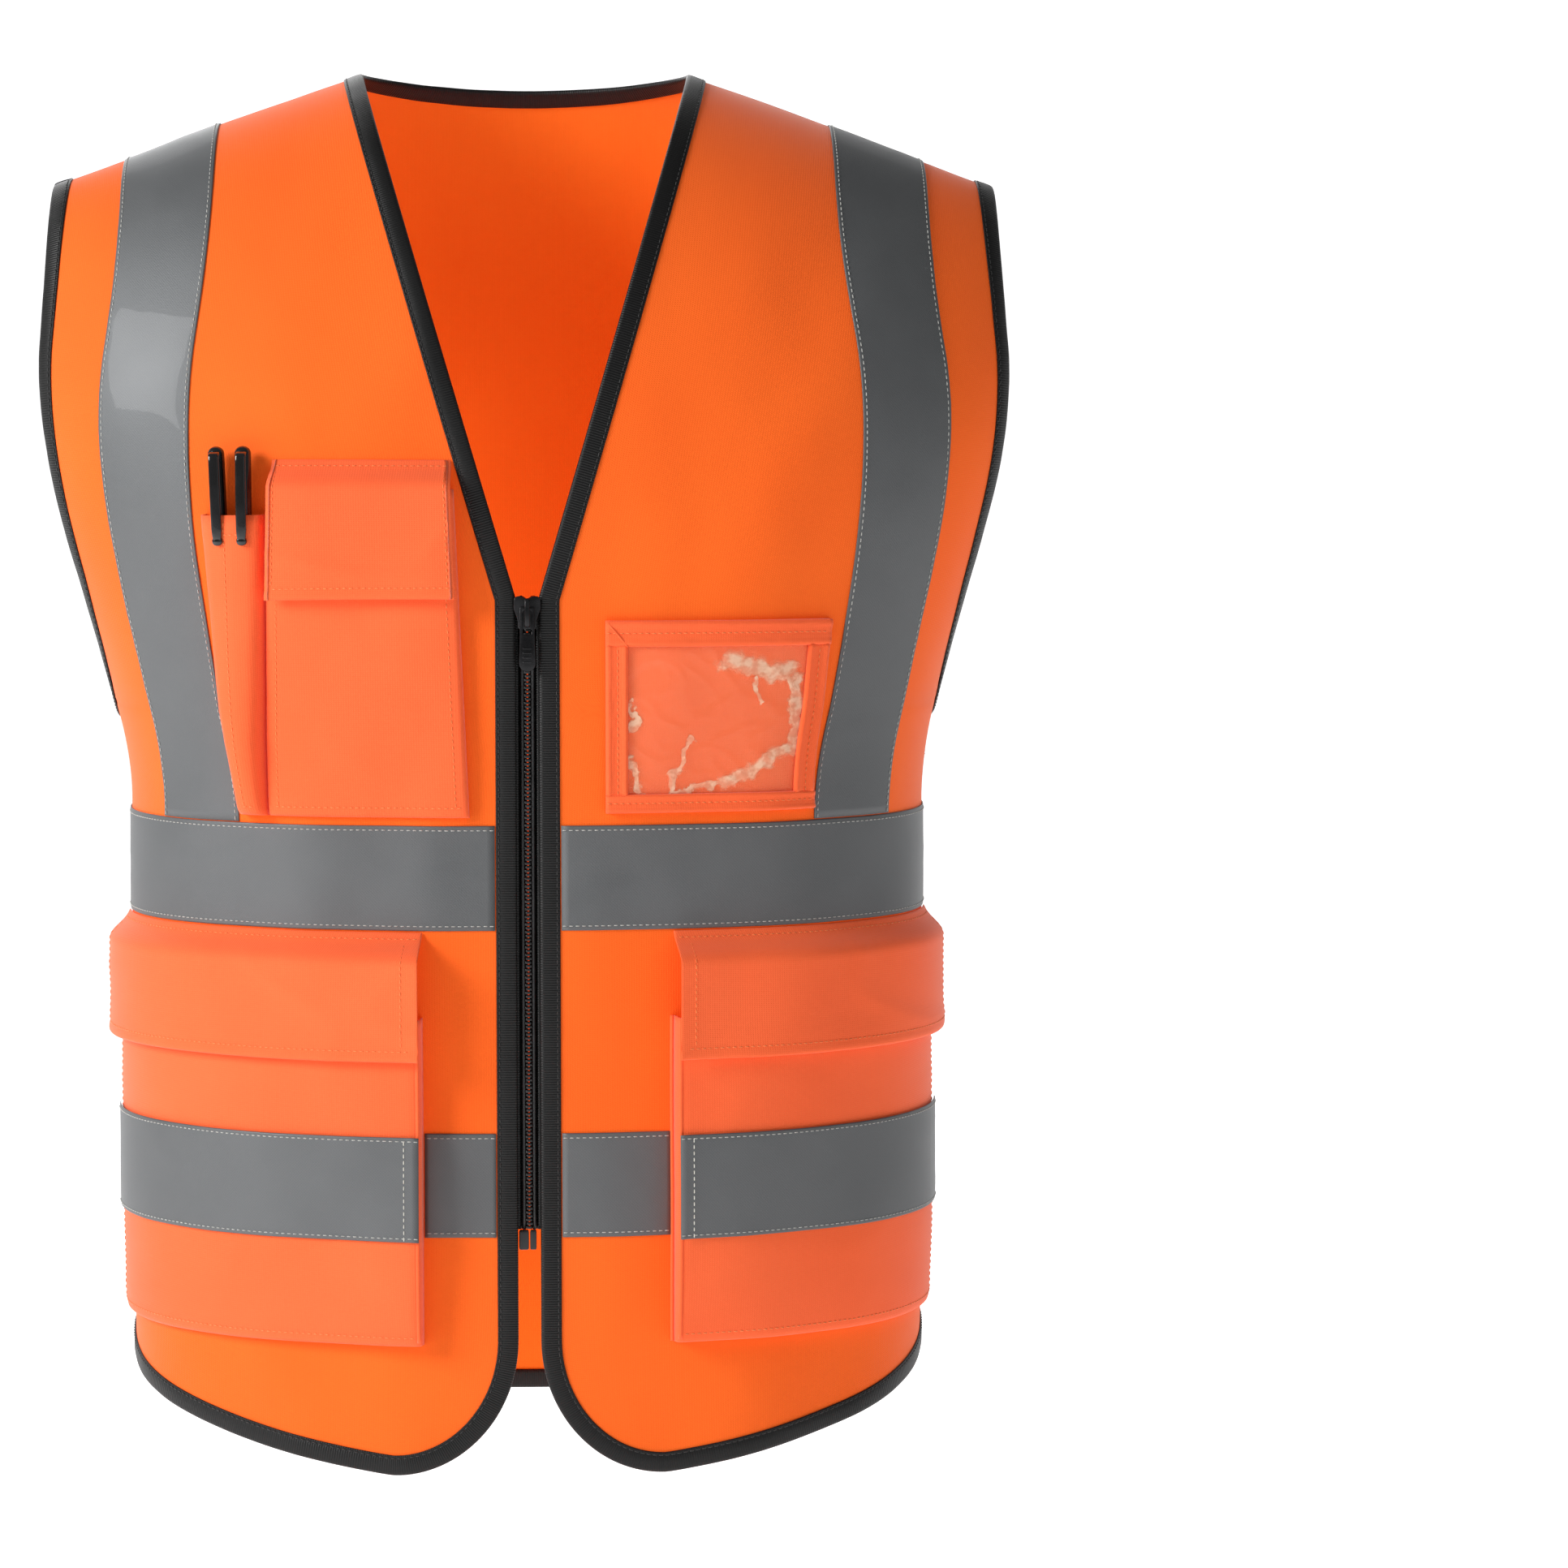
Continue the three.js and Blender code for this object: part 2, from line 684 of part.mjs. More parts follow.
/** A level band round one front, from x by height to x by height. */
const frontBand = (side, low, edgeA, edgeB, base) => {
  const columns = shares(12);
  const places = placesBetween(side, edgeA, edgeB, levelsBetween(low, low + tapeWidth), columns);
  return cloth(FRONT, places, base, base + trimThickness);
};
const besideBinding = (z) => frontEdge(z) + bindingWidth + layerGap;

for (const [name, side] of sides) {
  add(
    `front_upper_band_${name}`,
    frontBand(side, upperBandBottom, besideBinding, outerEdge, trimBase),
    reflectiveTape,
  );
  add(
    `front_lower_band_${name}`,
    cloth(
      FRONT,
      placesBetween(
        side,
        besideBinding,
        () => pocketInset[name] - layerGap,
        [lowerBandHeight, lowerBandTop],
        shares(3),
      ),
      trimBase,
      trimTop,
    ),
    reflectiveTape,
  );
}

const backBand = (low) =>
  cloth(
    BACK,
    levelsBetween(low, low + tapeWidth).map((level) =>
      backRow(() => level, outerEdge, backColumns),
    ),
    trimBase,
    trimTop,
  );
add("back_upper_band", backBand(upperBandBottom + backBandRaise), reflectiveTape);
add("back_lower_band", backBand(lowerBandHeight), reflectiveTape);

/** Places down an upright tape at some levels. */
const tapePlaces = (face, side, levels) =>
  levels.map((level) => {
    const middle = edgeAtLevel(tapeMiddle, level);
    return shares(3).map((share) => {
      const x = stepAlong(face, level, middle, (share - 0.5) * tapeWidth || 1e-6);
      return { x: side * x, z: levelZ(level, x) };
    });
  });

/** The inner edge of the front's upright tape, as x by height. */
const tapeInner = (z) => stepAlong(FRONT, Math.min(z, rollStart), tapeMiddle(z), -tapeWidth / 2);

for (const [name, side] of sides) {
  for (const [part, face, raise] of [
    ["front", FRONT, 0],
    ["back", BACK, backBandRaise],
  ]) {
    const low = upperBandTop + raise + layerGap;
    add(
      `${part}_shoulder_tape_${name}`,
      cloth(face, tapePlaces(face, side, levelsBetween(low, seamLevel)), trimBase, trimTop),
      reflectiveTape,
    );
  }
}

// ---- Bindings ------------------------------------------------------------------------------

const cornerEdge = hemAngles.map((angle) => {
  const turn = THREE.MathUtils.degToRad(angle);
  return {
    x: cornerCentre - cornerWidth * Math.cos(turn),
    z: cornerHeight - cornerHeight * Math.sin(turn),
  };
});
const edgePlaces = (edge, levels) =>
  levels.map((level) => {
    const x = edgeAtLevel(edge, level);
    return { x, z: levelZ(level, x) };
  });

for (const [name, side] of sides) {
  const edge = [
    ...edgePlaces(frontEdge, levelsBetween(vBottom, seamLevel)).reverse(),
    ...cornerEdge,
    ...sideColumns.map((share) => ({
      x: between(cornerCentre, waistHalfWidth, share, 0),
      z: frontHem(share),
    })),
  ];
  const mirrored = (places) => places.map((p) => ({ x: side * p.x, z: p.z }));
  const chest = { x: side * 120, z: vBottom };
  add(`front_binding_${name}`, binding(FRONT, mirrored(edge), chest), blackBinding);
  for (const [part, face] of [
    ["front", FRONT],
    ["back", BACK],
  ]) {
    const armhole = edgePlaces(outerEdge, levelsBetween(armpitZ, seamLevel));
    add(`armhole_binding_${part}_${name}`, binding(face, mirrored(armhole), chest), blackBinding);
  }
}

const neckEnd = edgeColumns.length - outerShares.length;
const neckColumns = edgeColumns.slice(outerShares.length - 1, neckEnd + 1);
add(
  "neck_binding",
  binding(
    BACK,
    backRow((x) => backLevelZ(seamLevel, x), outerEdge, neckColumns),
    { x: 0, z: armpitZ },
  ),
  blackBinding,
);
add(
  "hem_binding_back",
  binding(
    BACK,
    backRow((_, share) => backHem(share), outerEdge, backColumns),
    { x: 0, z: armpitZ },
  ),
  blackBinding,
);

// ---- Zip -----------------------------------------------------------------------------------

const touchGap = 0.3; // between hard pieces that touch
const zipY = (offset) => -(frontDepth + seamGap / 2) - offset;

/** A box beside the zip, between two x values, two offsets off the body and two heights. */
const boxAt = (xa, xb, back, front, low, high) =>
  boxBetween([xa, zipY(front), low], [xb, zipY(back), high]);

const zipTapeTop = -bindingGap - bindingThickness - bindingGap;
const zipTapeBottom = zipTapeTop - trimThickness;
const chainMiddle = (zipTapeTop + zipTapeBottom) / 2;
const chainFront = chainMiddle + toothThickness / 2;
const chainBack = chainMiddle - toothThickness / 2;
const sliderTop = vBottom + sliderAboveV;
const sliderBottom = sliderTop - sliderHeight;
const chainTop = sliderBottom + sliderHeight / 4; // the comb runs on into the slider
const toothCount = Math.floor((chainTop - zipBottom - 2 * toothPitch) / toothPitch);
const chainBottom = chainTop - toothCount * toothPitch;

for (const [name, side] of sides) {
  // the woven tape, behind the binding and up to the teeth
  const tapeEnds = [side * (chainHalfWidth + touchGap), side * zipTapeHalfWidth];
  const [tapeLow, tapeHigh] = tapeEnds.sort((a, b) => a - b);
  add(
    `zipper_tape_${name}`,
    boxAt(tapeLow, tapeHigh, zipTapeBottom, zipTapeTop, chainBottom, vBottom - 2 * touchGap),
    blackBinding,
  );

  // a comb of teeth on one cord, drawn as an outline and made as thick as the chain
  const shift = side === LEFT ? toothPitch / 2 : 0;
  const outline = [
    [chainHalfWidth, chainTop],
    [chainHalfWidth, chainBottom],
    [cordReach, chainBottom],
  ];
  for (let i = 0; i < toothCount; i++) {
    const low = chainBottom + i * toothPitch + shift + (toothPitch / 2 - toothHeight) / 2;
    outline.push([cordReach, low], [-toothReach, low]);
    outline.push([-toothReach, low + toothHeight], [cordReach, low + toothHeight]);
  }
  outline.push([cordReach, chainTop]);
  const comb = new THREE.Shape(outline.map(([x, z]) => new THREE.Vector2(side * x, z)));
  const teeth = new THREE.ExtrudeGeometry(comb, { depth: toothThickness, bevelEnabled: false });
  teeth.rotateX(Math.PI / 2).translate(0, zipY(chainBack), 0);
  add(`zipper_teeth_${name}`, teeth, blackPlastic);

  const stopBottom = chainTop + touchGap;
  const [stopLow, stopHigh] = [side * touchGap, side * chainHalfWidth].sort((a, b) => a - b);
  add(
    `zipper_top_stop_${name}`,
    boxAt(stopLow, stopHigh, chainBack, chainFront, stopBottom, stopBottom + stopHeight),
    zipMetal,
  );
}

const plateBack = clothThickness + bindingGap + bindingThickness + sliderClearance;
const plateFront = plateBack + sliderPlate;
const backPlateFront = chainBack - sliderClearance;
const backPlateBack = backPlateFront - sliderPlate;
const bridgeBack = plateFront + bridgeRoom;
const bridgeFront = bridgeBack + bridgeThickness;
const bridgeTop = sliderTop - touchGap;
const bridgeBottom = sliderBottom + touchGap;

/** A bar of the bridge, in the middle of the slider. */
const bridgeBar = (back, low, high) =>
  boxAt(-bridgeWidth / 2, bridgeWidth / 2, back, bridgeFront, low, high);
const plate = (width, back, front) =>
  boxAt(-width / 2, width / 2, back, front, sliderBottom, sliderTop);

add(
  "zipper_slider",
  joined(
    plate(sliderWidth, plateBack, plateFront),
    plate(sliderBackWidth, backPlateBack, backPlateFront),
    boxAt(
      wedge.inner,
      wedge.outer,
      backPlateFront - sliderPlate / 2,
      plateBack + sliderPlate / 2,
      chainTop + stopHeight + 2 * touchGap,
      sliderTop,
    ),
    bridgeBar(plateFront - sliderPlate / 2, bridgeTop - bridgeFoot, bridgeTop),
    bridgeBar(plateFront - sliderPlate / 2, bridgeBottom, bridgeBottom + bridgeFoot),
    bridgeBar(bridgeBack, bridgeBottom, bridgeTop),
  ),
  zipMetal,
);

// the pull hangs on the bridge by its slot and lies flat on the slider's front
const pullOffset = (plateFront + bridgeBack) / 2;
const pullTop = sliderTop - pivotBelowTop + pullSlot.below / 2;
const pull = new THREE.Shape();
const roundZ = pullTop - pullLength + pullWidth / 2;
pull.moveTo(-pullWidth / 2, pullTop);
pull.lineTo(pullWidth / 2, pullTop);
pull.lineTo(pullWidth / 2, roundZ);
pull.absarc(0, roundZ, pullWidth / 2, 0, -Math.PI, true);
const slot = new THREE.Path();
const slotTop = pullTop - pullSlot.below;
slot.moveTo(-pullSlot.width / 2, slotTop);
slot.lineTo(-pullSlot.width / 2, slotTop - pullSlot.length);
slot.lineTo(pullSlot.width / 2, slotTop - pullSlot.length);
slot.lineTo(pullSlot.width / 2, slotTop);
pull.holes.push(slot);
const pullTab = new THREE.ExtrudeGeometry(pull, {
  depth: pullThickness,
  bevelEnabled: false,
  curveSegments: 8,
});
pullTab.rotateX(Math.PI / 2).translate(0, zipY(pullOffset) + pullThickness / 2, 0);
add("zipper_pull_tab", pullTab, zipMetal);

const retainerBottom = zipBottom - retainerDrop;
const retainerTop = chainBottom - touchGap;
add(
  "zipper_retainer_box",
  boxAt(
    -touchGap - retainerWidth,
    -touchGap,
    chainBack - touchGap,
    chainFront + touchGap,
    retainerBottom,
    retainerTop,
  ),
  blackPlastic,
);
add(
  "zipper_pin",
  boxAt(touchGap, chainHalfWidth, chainBack, chainFront, retainerBottom, retainerTop),
  blackPlastic,
);

// ---- Chest pocket, pen pocket and their flap -----------------------------------------------

const chestBottom = upperBandTop + chestPocketAboveBand;
const chestMouth = chestBottom + chestPocketHeight;
const penMouth = chestBottom + penPocketHeight;
const chestClimb = (z) => clamp01((z - chestBottom) / chestPocketHeight);
const penOuter = (z) =>
  tapeInner(z) - lerp(penPocketToTape.bottom, penPocketToTape.top, chestClimb(z));
const groove = penOuter(penMouth) - penPocketWidth;
const clearOfNeck = (z, edge) => Math.max(edge, frontEdge(z) + bindingWidth + 3 * layerGap);
const chestInner = (z) => clearOfNeck(z, lerp(chestInsetBottom, chestInsetTop, chestClimb(z)));

/** A pocket's fullness: less at its bottom seam than at its mouth. */
const fullness = (least, up) => least + (1 - least) * Math.sqrt(clamp01(up * 4));

add(
  "chest_pocket",
  pouch(
    RIGHT,
    chestInner,
    () => groove - 2 * layerGap,
    heightsBetween(chestBottom, chestMouth),
    shares(7),
    (across, up) => chestPocketDepth * fullness(0.5, up),
  ),
  pocketCloth,
);
add(
  "pen_pocket",
  pouch(
    RIGHT,
    () => groove,
    penOuter,
    heightsBetween(chestBottom, penMouth),
    shares(4),
    (across, up) => lerp(penPocketDepthBottom, penPocketDepthMouth, up) * fullness(0.35, up),
  ),
  pocketCloth,
);

const closureRoom = 2 * closureThickness + 3 * layerGap;
const flapTurn = 14; // a flap hangs clear of its pocket from this far below its seam

/** A flap hanging from its sewn top edge, over a pocket whose front is at the offset over. */
function flap(side, edgeA, edgeB, top, height, over, columns) {
  const drops = [0, 0.3, 0.6, 1].map((share) => share * flapTurn);
  drops.push((flapTurn + height) / 2, height);
  const heights = drops.map((drop) => top - drop);
  const base = (row, column) => {
    const hang = THREE.MathUtils.smoothstep(drops[row], 0, flapTurn);
    return lerp(trimBase, over(columns[column]) + closureRoom, hang);
  };
  const places = placesAt(side, edgeA, edgeB, heights, columns);
  return cloth(FRONT, places, base, (...at) => base(...at) + clothThickness);
}

/** Adds the loop half of a press closure on a pocket's front, and the hook half under its flap. */
function addClosure(name, side, edgeA, edgeB, columns, z, over) {
  const heights = [z - closureHeight / 2, z + closureHeight / 2];
  const places = placesAt(side, edgeA, edgeB, heights, columns);
  for (const [half, lift] of [
    ["loop", layerGap],
    ["hook", 2 * layerGap + closureThickness],
  ]) {
    const base = (row, column) => over(columns[column]) + lift;
    const top = (row, column) => base(row, column) + closureThickness;
    add(`${name}_${half}_patch`, cloth(FRONT, places, base, top), pocketCloth);
  }
}

const chestFront = trimBase + chestPocketDepth;
const chestFlapTop = chestMouth + flapAboveMouth;
const chestFlapInner = (z) => clearOfNeck(z, chestInner(Math.min(z, chestMouth)) + 2 * layerGap);
const chestFlapOuter = () => groove - 6 * layerGap;
const chestColumns = shares(7);
add(
  "chest_pocket_flap",
  flap(
    RIGHT,
    chestFlapInner,
    chestFlapOuter,
    chestFlapTop,
    chestFlapHeight,
    () => chestFront,
    chestColumns,
  ),
  pocketCloth,
);
addClosure(
  "chest_pocket",
  RIGHT,
  chestFlapInner,
  chestFlapOuter,
  chestColumns.slice(2, 6),
  chestFlapTop - chestFlapHeight + closureAboveEdge + closureHeight / 2,
  () => chestFront,
);

// ---- Pens ----------------------------------------------------------------------------------

const penRadius = penDiameter / 2;
const penFoot = penMouth + penAbovePocket - penLength;
const penAtMouth = trimBase + penPocketDepthMouth - clothThickness - layerGap - penRadius;
const penAtFoot = penAtMouth + penPocketDepthBottom - penPocketDepthMouth - 5 * layerGap;
const clipReach = penRadius + clothThickness + 4 * layerGap;
const capFoot = penLength - penCapLength;
const barrelRadius = penRadius - penStep;
const clipTop = penLength - penClipArm;

/** A turned piece standing on the origin, from radii and heights. */
function turnedPiece(profile) {
  const points = profile.map(([radius, height]) => new THREE.Vector2(radius, height));
  return new THREE.LatheGeometry(points, 16).rotateX(Math.PI / 2);
}

for (const [number, along] of [
  [1, 0.5],
  [2, -0.5],
]) {
  const middleAt = (z) => (groove + penOuter(z)) / 2;
  const headX = -(middleAt(penMouth) + along * penSpacingHead);
  const footX = -(middleAt(penFoot) + along * penSpacingFoot);
  const foot = bodyPoint(FRONT, footX, penFoot, penAtFoot);
  const mouth = bodyPoint(FRONT, headX, penMouth, penAtMouth);
  const lean = mouth.clone().sub(foot).normalize();
  const pen = new THREE.Group();
  pen.position.copy(foot);
  pen.quaternion.setFromUnitVectors(new THREE.Vector3(0, 0, 1), lean);
  vest.add(pen);

  const barrel = turnedPiece([
    [0, 0],
    [penStep, 0],
    [barrelRadius * 0.8, penTaperLength / 2],
    [barrelRadius, penTaperLength],
    [barrelRadius, capFoot - touchGap],
    [0, capFoot - touchGap],
  ]);
  add(`pen_${number}_barrel`, barrel, blackPlastic, pen);

  const cap = turnedPiece([
    [0, capFoot],
    [penRadius, capFoot],
    [penRadius, penLength - penRadius * 0.75],
    [penRadius * 0.6, penLength - penStep],
    [0, penLength],
  ]);
  // the clip springs from the top of the cap and hangs down in front of the pocket
  const clipOutline = [
    [0, clipTop],
    [0, clipTop - penClipArm],
    [clipReach, clipTop - penClipArm],
    [clipReach, penLength - penClipLength],
    [clipReach + penClipThickness, penLength - penClipLength],
    [clipReach + penClipThickness, clipTop - penClipArm / 2],
    [clipReach + penClipThickness / 4, clipTop],
  ];
  const clipShape = new THREE.Shape(clipOutline.map(([x, z]) => new THREE.Vector2(x, z)));
  const clip = new THREE.ExtrudeGeometry(clipShape, { depth: penClipWidth, bevelEnabled: false });
  const normal = normalAt(FRONT, headX, penMouth);
  clip.rotateX(Math.PI / 2).translate(0, penClipWidth / 2, 0);
  clip.rotateZ(Math.atan2(normal.y, normal.x));
  add(`pen_${number}_cap`, joined(cap, clip), blackPlastic, pen);
}

// ---- Badge pocket --------------------------------------------------------------------------

const badgeBottom = upperBandTop + badgeAboveBand;
const badgeTop = badgeBottom + badgeHeight;
const badgeInner = () => badgeInset;
const badgeOuter = (z) =>
  tapeInner(z) - lerp(badgeToTape.bottom, badgeToTape.top, (z - badgeBottom) / badgeHeight);

/** A sheet or strip of the badge pocket between two edges and two heights. */
const badgeSheet = (low, high, edgeA, edgeB, base, thickness, columns = shares(7)) =>
  cloth(
    FRONT,
    placesAt(LEFT, edgeA, edgeB, heightsBetween(low, high, 32), columns),
    base,
    base + thickness,
  );
const moved = (edge, distance) => (z) => edge(z) + distance;
const windowBase = trimTop + layerGap;
const frameBase = windowBase + windowThickness + layerGap;
add(
  "badge_pocket_backing",
  badgeSheet(badgeBottom, badgeTop, badgeInner, badgeOuter, trimBase, trimThickness),
  pocketCloth,
);
add(
  "badge_window",
  badgeSheet(
    badgeBottom + windowInset,
    badgeTop - windowInset,
    moved(badgeInner, windowInset),
    moved(badgeOuter, -windowInset),
    windowBase,
    windowThickness,
  ),
  clearSheet,
);
const stripLow = badgeBottom + badgeFrame.bottom + layerGap;
const stripHigh = badgeTop - badgeFrame.top - layerGap;
const strips = [
  ["top", badgeTop - badgeFrame.top, badgeTop, badgeInner, badgeOuter, 7],
  ["bottom", badgeBottom, badgeBottom + badgeFrame.bottom, badgeInner, badgeOuter, 7],
  ["inner", stripLow, stripHigh, badgeInner, moved(badgeInner, badgeFrame.inner), 1],
  ["outer", stripLow, stripHigh, moved(badgeOuter, -badgeFrame.outer), badgeOuter, 1],
];
for (const [name, low, high, edgeA, edgeB, columns] of strips) {
  add(
    `badge_frame_${name}`,
    badgeSheet(low, high, edgeA, edgeB, frameBase, clothThickness, shares(columns)),
    pocketCloth,
  );
}

// ---- Lower pockets -------------------------------------------------------------------------

const pocketMouth = pocketBottom + pocketHeight;
const flapTop = upperBandBottom - flapBelowBand;
const pocketColumns = shares(9);
const pocketRear = (z) => stepAlong(FRONT, z, halfWidthAt(z) - 0.01, -pocketRearClearance);
const pocketDepth = (across) => lerp(pocketDepthInner, pocketDepthRear, Math.sqrt(across));

for (const [name, side] of sides) {
  const inner = () => pocketInset[name];
  const rear = pocketRear(pocketBottom);
  const outer = () => rear;
  add(
    `lower_pocket_${name}`,
    pouch(
      side,
      inner,
      outer,
      heightsBetween(pocketBottom, pocketMouth, 45),
      pocketColumns,
      (across, up) => pocketDepth(across) * fullness(0.7, up),
    ),
    pocketCloth,
  );
  const front = (share) => trimBase + pocketDepth(share);
  const bandPlaces = placesAt(
    side,
    inner,
    outer,
    heightsBetween(lowerBandHeight, lowerBandTop, 26),
    pocketColumns,
  );
  const bandBase = (row, column) => front(pocketColumns[column]) + layerGap;
  add(
    `pocket_band_${name}`,
    cloth(FRONT, bandPlaces, bandBase, (...at) => bandBase(...at) + trimThickness),
    reflectiveTape,
  );
  add(
    `lower_pocket_flap_${name}`,
    flap(side, inner, outer, flapTop, flapHeight, front, pocketColumns),
    pocketCloth,
  );
  addClosure(
    `lower_pocket_${name}`,
    side,
    inner,
    outer,
    pocketColumns.slice(2, 5),
    flapTop - flapHeight + closureAboveEdge + closureHeight / 2,
    front,
  );
}

vest.position.z = -shoulderMiddle;
export default vest;
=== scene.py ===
import math

import bmesh
import bpy
import numpy as np
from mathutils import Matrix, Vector


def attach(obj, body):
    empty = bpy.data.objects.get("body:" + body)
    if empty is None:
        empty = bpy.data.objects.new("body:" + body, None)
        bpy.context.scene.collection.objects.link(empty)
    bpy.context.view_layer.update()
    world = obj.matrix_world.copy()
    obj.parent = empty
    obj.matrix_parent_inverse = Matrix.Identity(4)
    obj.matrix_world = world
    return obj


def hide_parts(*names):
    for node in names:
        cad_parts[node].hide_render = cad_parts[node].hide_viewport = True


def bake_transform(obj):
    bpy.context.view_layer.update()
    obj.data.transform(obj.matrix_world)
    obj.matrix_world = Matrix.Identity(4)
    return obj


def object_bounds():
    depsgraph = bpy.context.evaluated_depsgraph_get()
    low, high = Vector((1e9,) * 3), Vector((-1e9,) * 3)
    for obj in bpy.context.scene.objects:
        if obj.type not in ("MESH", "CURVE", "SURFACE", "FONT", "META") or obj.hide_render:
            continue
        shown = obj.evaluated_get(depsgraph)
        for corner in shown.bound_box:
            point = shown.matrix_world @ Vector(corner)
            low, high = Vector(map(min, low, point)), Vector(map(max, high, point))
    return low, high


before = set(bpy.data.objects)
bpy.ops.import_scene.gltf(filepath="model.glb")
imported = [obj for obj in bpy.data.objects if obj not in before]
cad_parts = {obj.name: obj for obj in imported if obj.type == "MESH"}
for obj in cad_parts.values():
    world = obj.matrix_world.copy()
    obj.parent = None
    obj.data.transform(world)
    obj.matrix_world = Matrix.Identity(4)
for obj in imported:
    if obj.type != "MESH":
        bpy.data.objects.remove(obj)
cad_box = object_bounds()

# ---- Studio ----------------------------------------------------------------------------------
# A white sweep stands behind and under the vest, far enough off to take no hard shadow. A large
# soft key light comes from the camera's left, a weak fill from the right and a third from behind.
scene = bpy.context.scene
scene.view_settings.view_transform = "Standard"

view_distance = 2.65
eye = Vector((0.0, -view_distance, -0.116))
camera_data = bpy.data.cameras.new("camera")
camera_data.sensor_width = 36
camera_data.lens = 119.7
camera = bpy.data.objects.new("camera", camera_data)
scene.collection.objects.link(camera)
camera.location = eye
camera.rotation_mode = "QUATERNION"
camera.rotation_quaternion = Vector((0.0493, 1, -0.0806)).to_track_quat("-Z", "Y")
scene.camera = camera


def area_light(name, place, aim, size, power):
    """A square soft box at a place, turned to its aim."""
    data = bpy.data.lights.new(name, "AREA")
    data.size = size
    data.energy = power
    light = bpy.data.objects.new(name, data)
    scene.collection.objects.link(light)
    light.location = place
    light.rotation_mode = "QUATERNION"
    light.rotation_quaternion = (Vector(aim) - Vector(place)).to_track_quat("-Z", "Y")


chest = (0, 0, -0.3)
area_light("key", (-2.4, -1.45, 0.9), chest, 1.2, 80)
area_light("fill", (1.2, -2.4, 0.4), chest, 1.4, 2.5)
area_light("back", (-0.6, 2.2, 1.1), chest, 1.8, 24)
world = bpy.data.worlds.new("studio")
world.use_nodes = True
world.node_tree.nodes["Background"].inputs["Color"].default_value = (1, 1, 1, 1)
world.node_tree.nodes["Background"].inputs["Strength"].default_value = 0.17
scene.world = world


class Wire:
    """An output socket that can be added, multiplied and compared like a number."""

    def __init__(self, tree, socket):
        self.tree = tree
        self.socket = socket

    def node(self, kind, inputs=(), out=0, **settings):
        """Adds any node: settings first, then the values or links of its sockets."""
        node = self.tree.nodes.new(kind)
        for name, value in settings.items():
            setattr(node, name, value)
        for key, value in dict(inputs).items():
            if isinstance(value, Wire):
                self.tree.links.new(value.socket, node.inputs[key])
            else:
                node.inputs[key].default_value = value
        return Wire(self.tree, node.outputs[out])

    def _maths(self, operation, a, b=0.0):
        return self.node("ShaderNodeMath", {0: a, 1: b}, operation=operation)

    def __add__(self, other):
        return self._maths("ADD", self, other)

    def __sub__(self, other):
        return self._maths("SUBTRACT", self, other)

    def __rsub__(self, other):
        return self._maths("SUBTRACT", other, self)

    def __mul__(self, other):
        return self._maths("MULTIPLY", self, other)

    def __truediv__(self, other):
        return self._maths("DIVIDE", self, other)

    def __pow__(self, other):
        return self._maths("POWER", self, other)

    __radd__ = __add__
    __rmul__ = __mul__

    def sine(self):
        return self._maths("SINE", self)

    def part(self, axis):
        """One coordinate of a vector."""
        return self.node("ShaderNodeSeparateXYZ", {0: self}, "XYZ".index(axis))

    def steps(self, low, high):
        """Smoothly from 0 at low to 1 at high."""
        values = {"Value": self, "From Min": low, "From Max": high}
        return self.node("ShaderNodeMapRange", values, interpolation_type="SMOOTHSTEP")

    def blended(self, colour_a, colour_b):
        """A colour between two, by this value."""
        values = {0: self, 6: colour_a, 7: colour_b}
        return self.node("ShaderNodeMix", values, 2, data_type="RGBA")

    def noise(self, scale, detail=2.0):
        """Cloudy noise over this vector, from 0 to 1."""
        values = {"Vector": self, "Scale": scale, "Detail": detail}
        return self.node("ShaderNodeTexNoise", values)

    def bump(self, strength, distance):
        """The normal of a surface raised by this height."""
        values = {"Strength": strength, "Distance": distance, "Height": self}
        return self.node("ShaderNodeBump", values)

    def feed(self, shader, socket):
        """Links this value to a socket of the material's shader."""
        self.tree.links.new(self.socket, shader.inputs[socket])


def material(name, **fixed):
    """A new material, its shader node and a wire to start other nodes from."""
    made = bpy.data.materials.new(name)
    made.use_nodes = True
    tree = made.node_tree
    shader = tree.nodes["Principled BSDF"]
    for key, value in fixed.items():
        shader.inputs[key.replace("_", " ")].default_value = value
    return made, shader, Wire(tree, None)


def colour(red, green, blue):
    """A colour for a socket, from its red, green and blue."""
    return (red, green, blue, 1.0)


floor_gap = 0.14
sweep_depth = 6.0
sweep_turn = 1.5
floor_z = cad_box[0].z - floor_gap
sweep_profile = [(-5.0, floor_z), (sweep_depth - sweep_turn, floor_z)]
for step in range(1, 13):
    turn = math.radians(90 * step / 12)
    along = sweep_depth - sweep_turn + sweep_turn * math.sin(turn)
    sweep_profile.append((along, floor_z + sweep_turn * (1 - math.cos(turn))))
sweep_profile.append((sweep_depth, 6.0))
sweep_mesh = bpy.data.meshes.new("sweep")
half_width = 9.0
corners = [(x, y, z) for y, z in sweep_profile for x in (-half_width, half_width)]
faces = [(2 * i, 2 * i + 1, 2 * i + 3, 2 * i + 2) for i in range(len(sweep_profile) - 1)]
sweep_mesh.from_pydata(corners, [], faces)
sweep_mesh.polygons.foreach_set("use_smooth", [True] * len(faces))
sweep = bpy.data.objects.new("sweep", sweep_mesh)
scene.collection.objects.link(sweep)
white, white_shader, at = material("sweep_white", Roughness=0.9)
place = at.node("ShaderNodeTexCoord", out="Object")
tint = place.noise(0.6).blended(colour(0.93, 0.93, 0.93), colour(0.96, 0.96, 0.96))
tint.feed(white_shader, "Base Color")
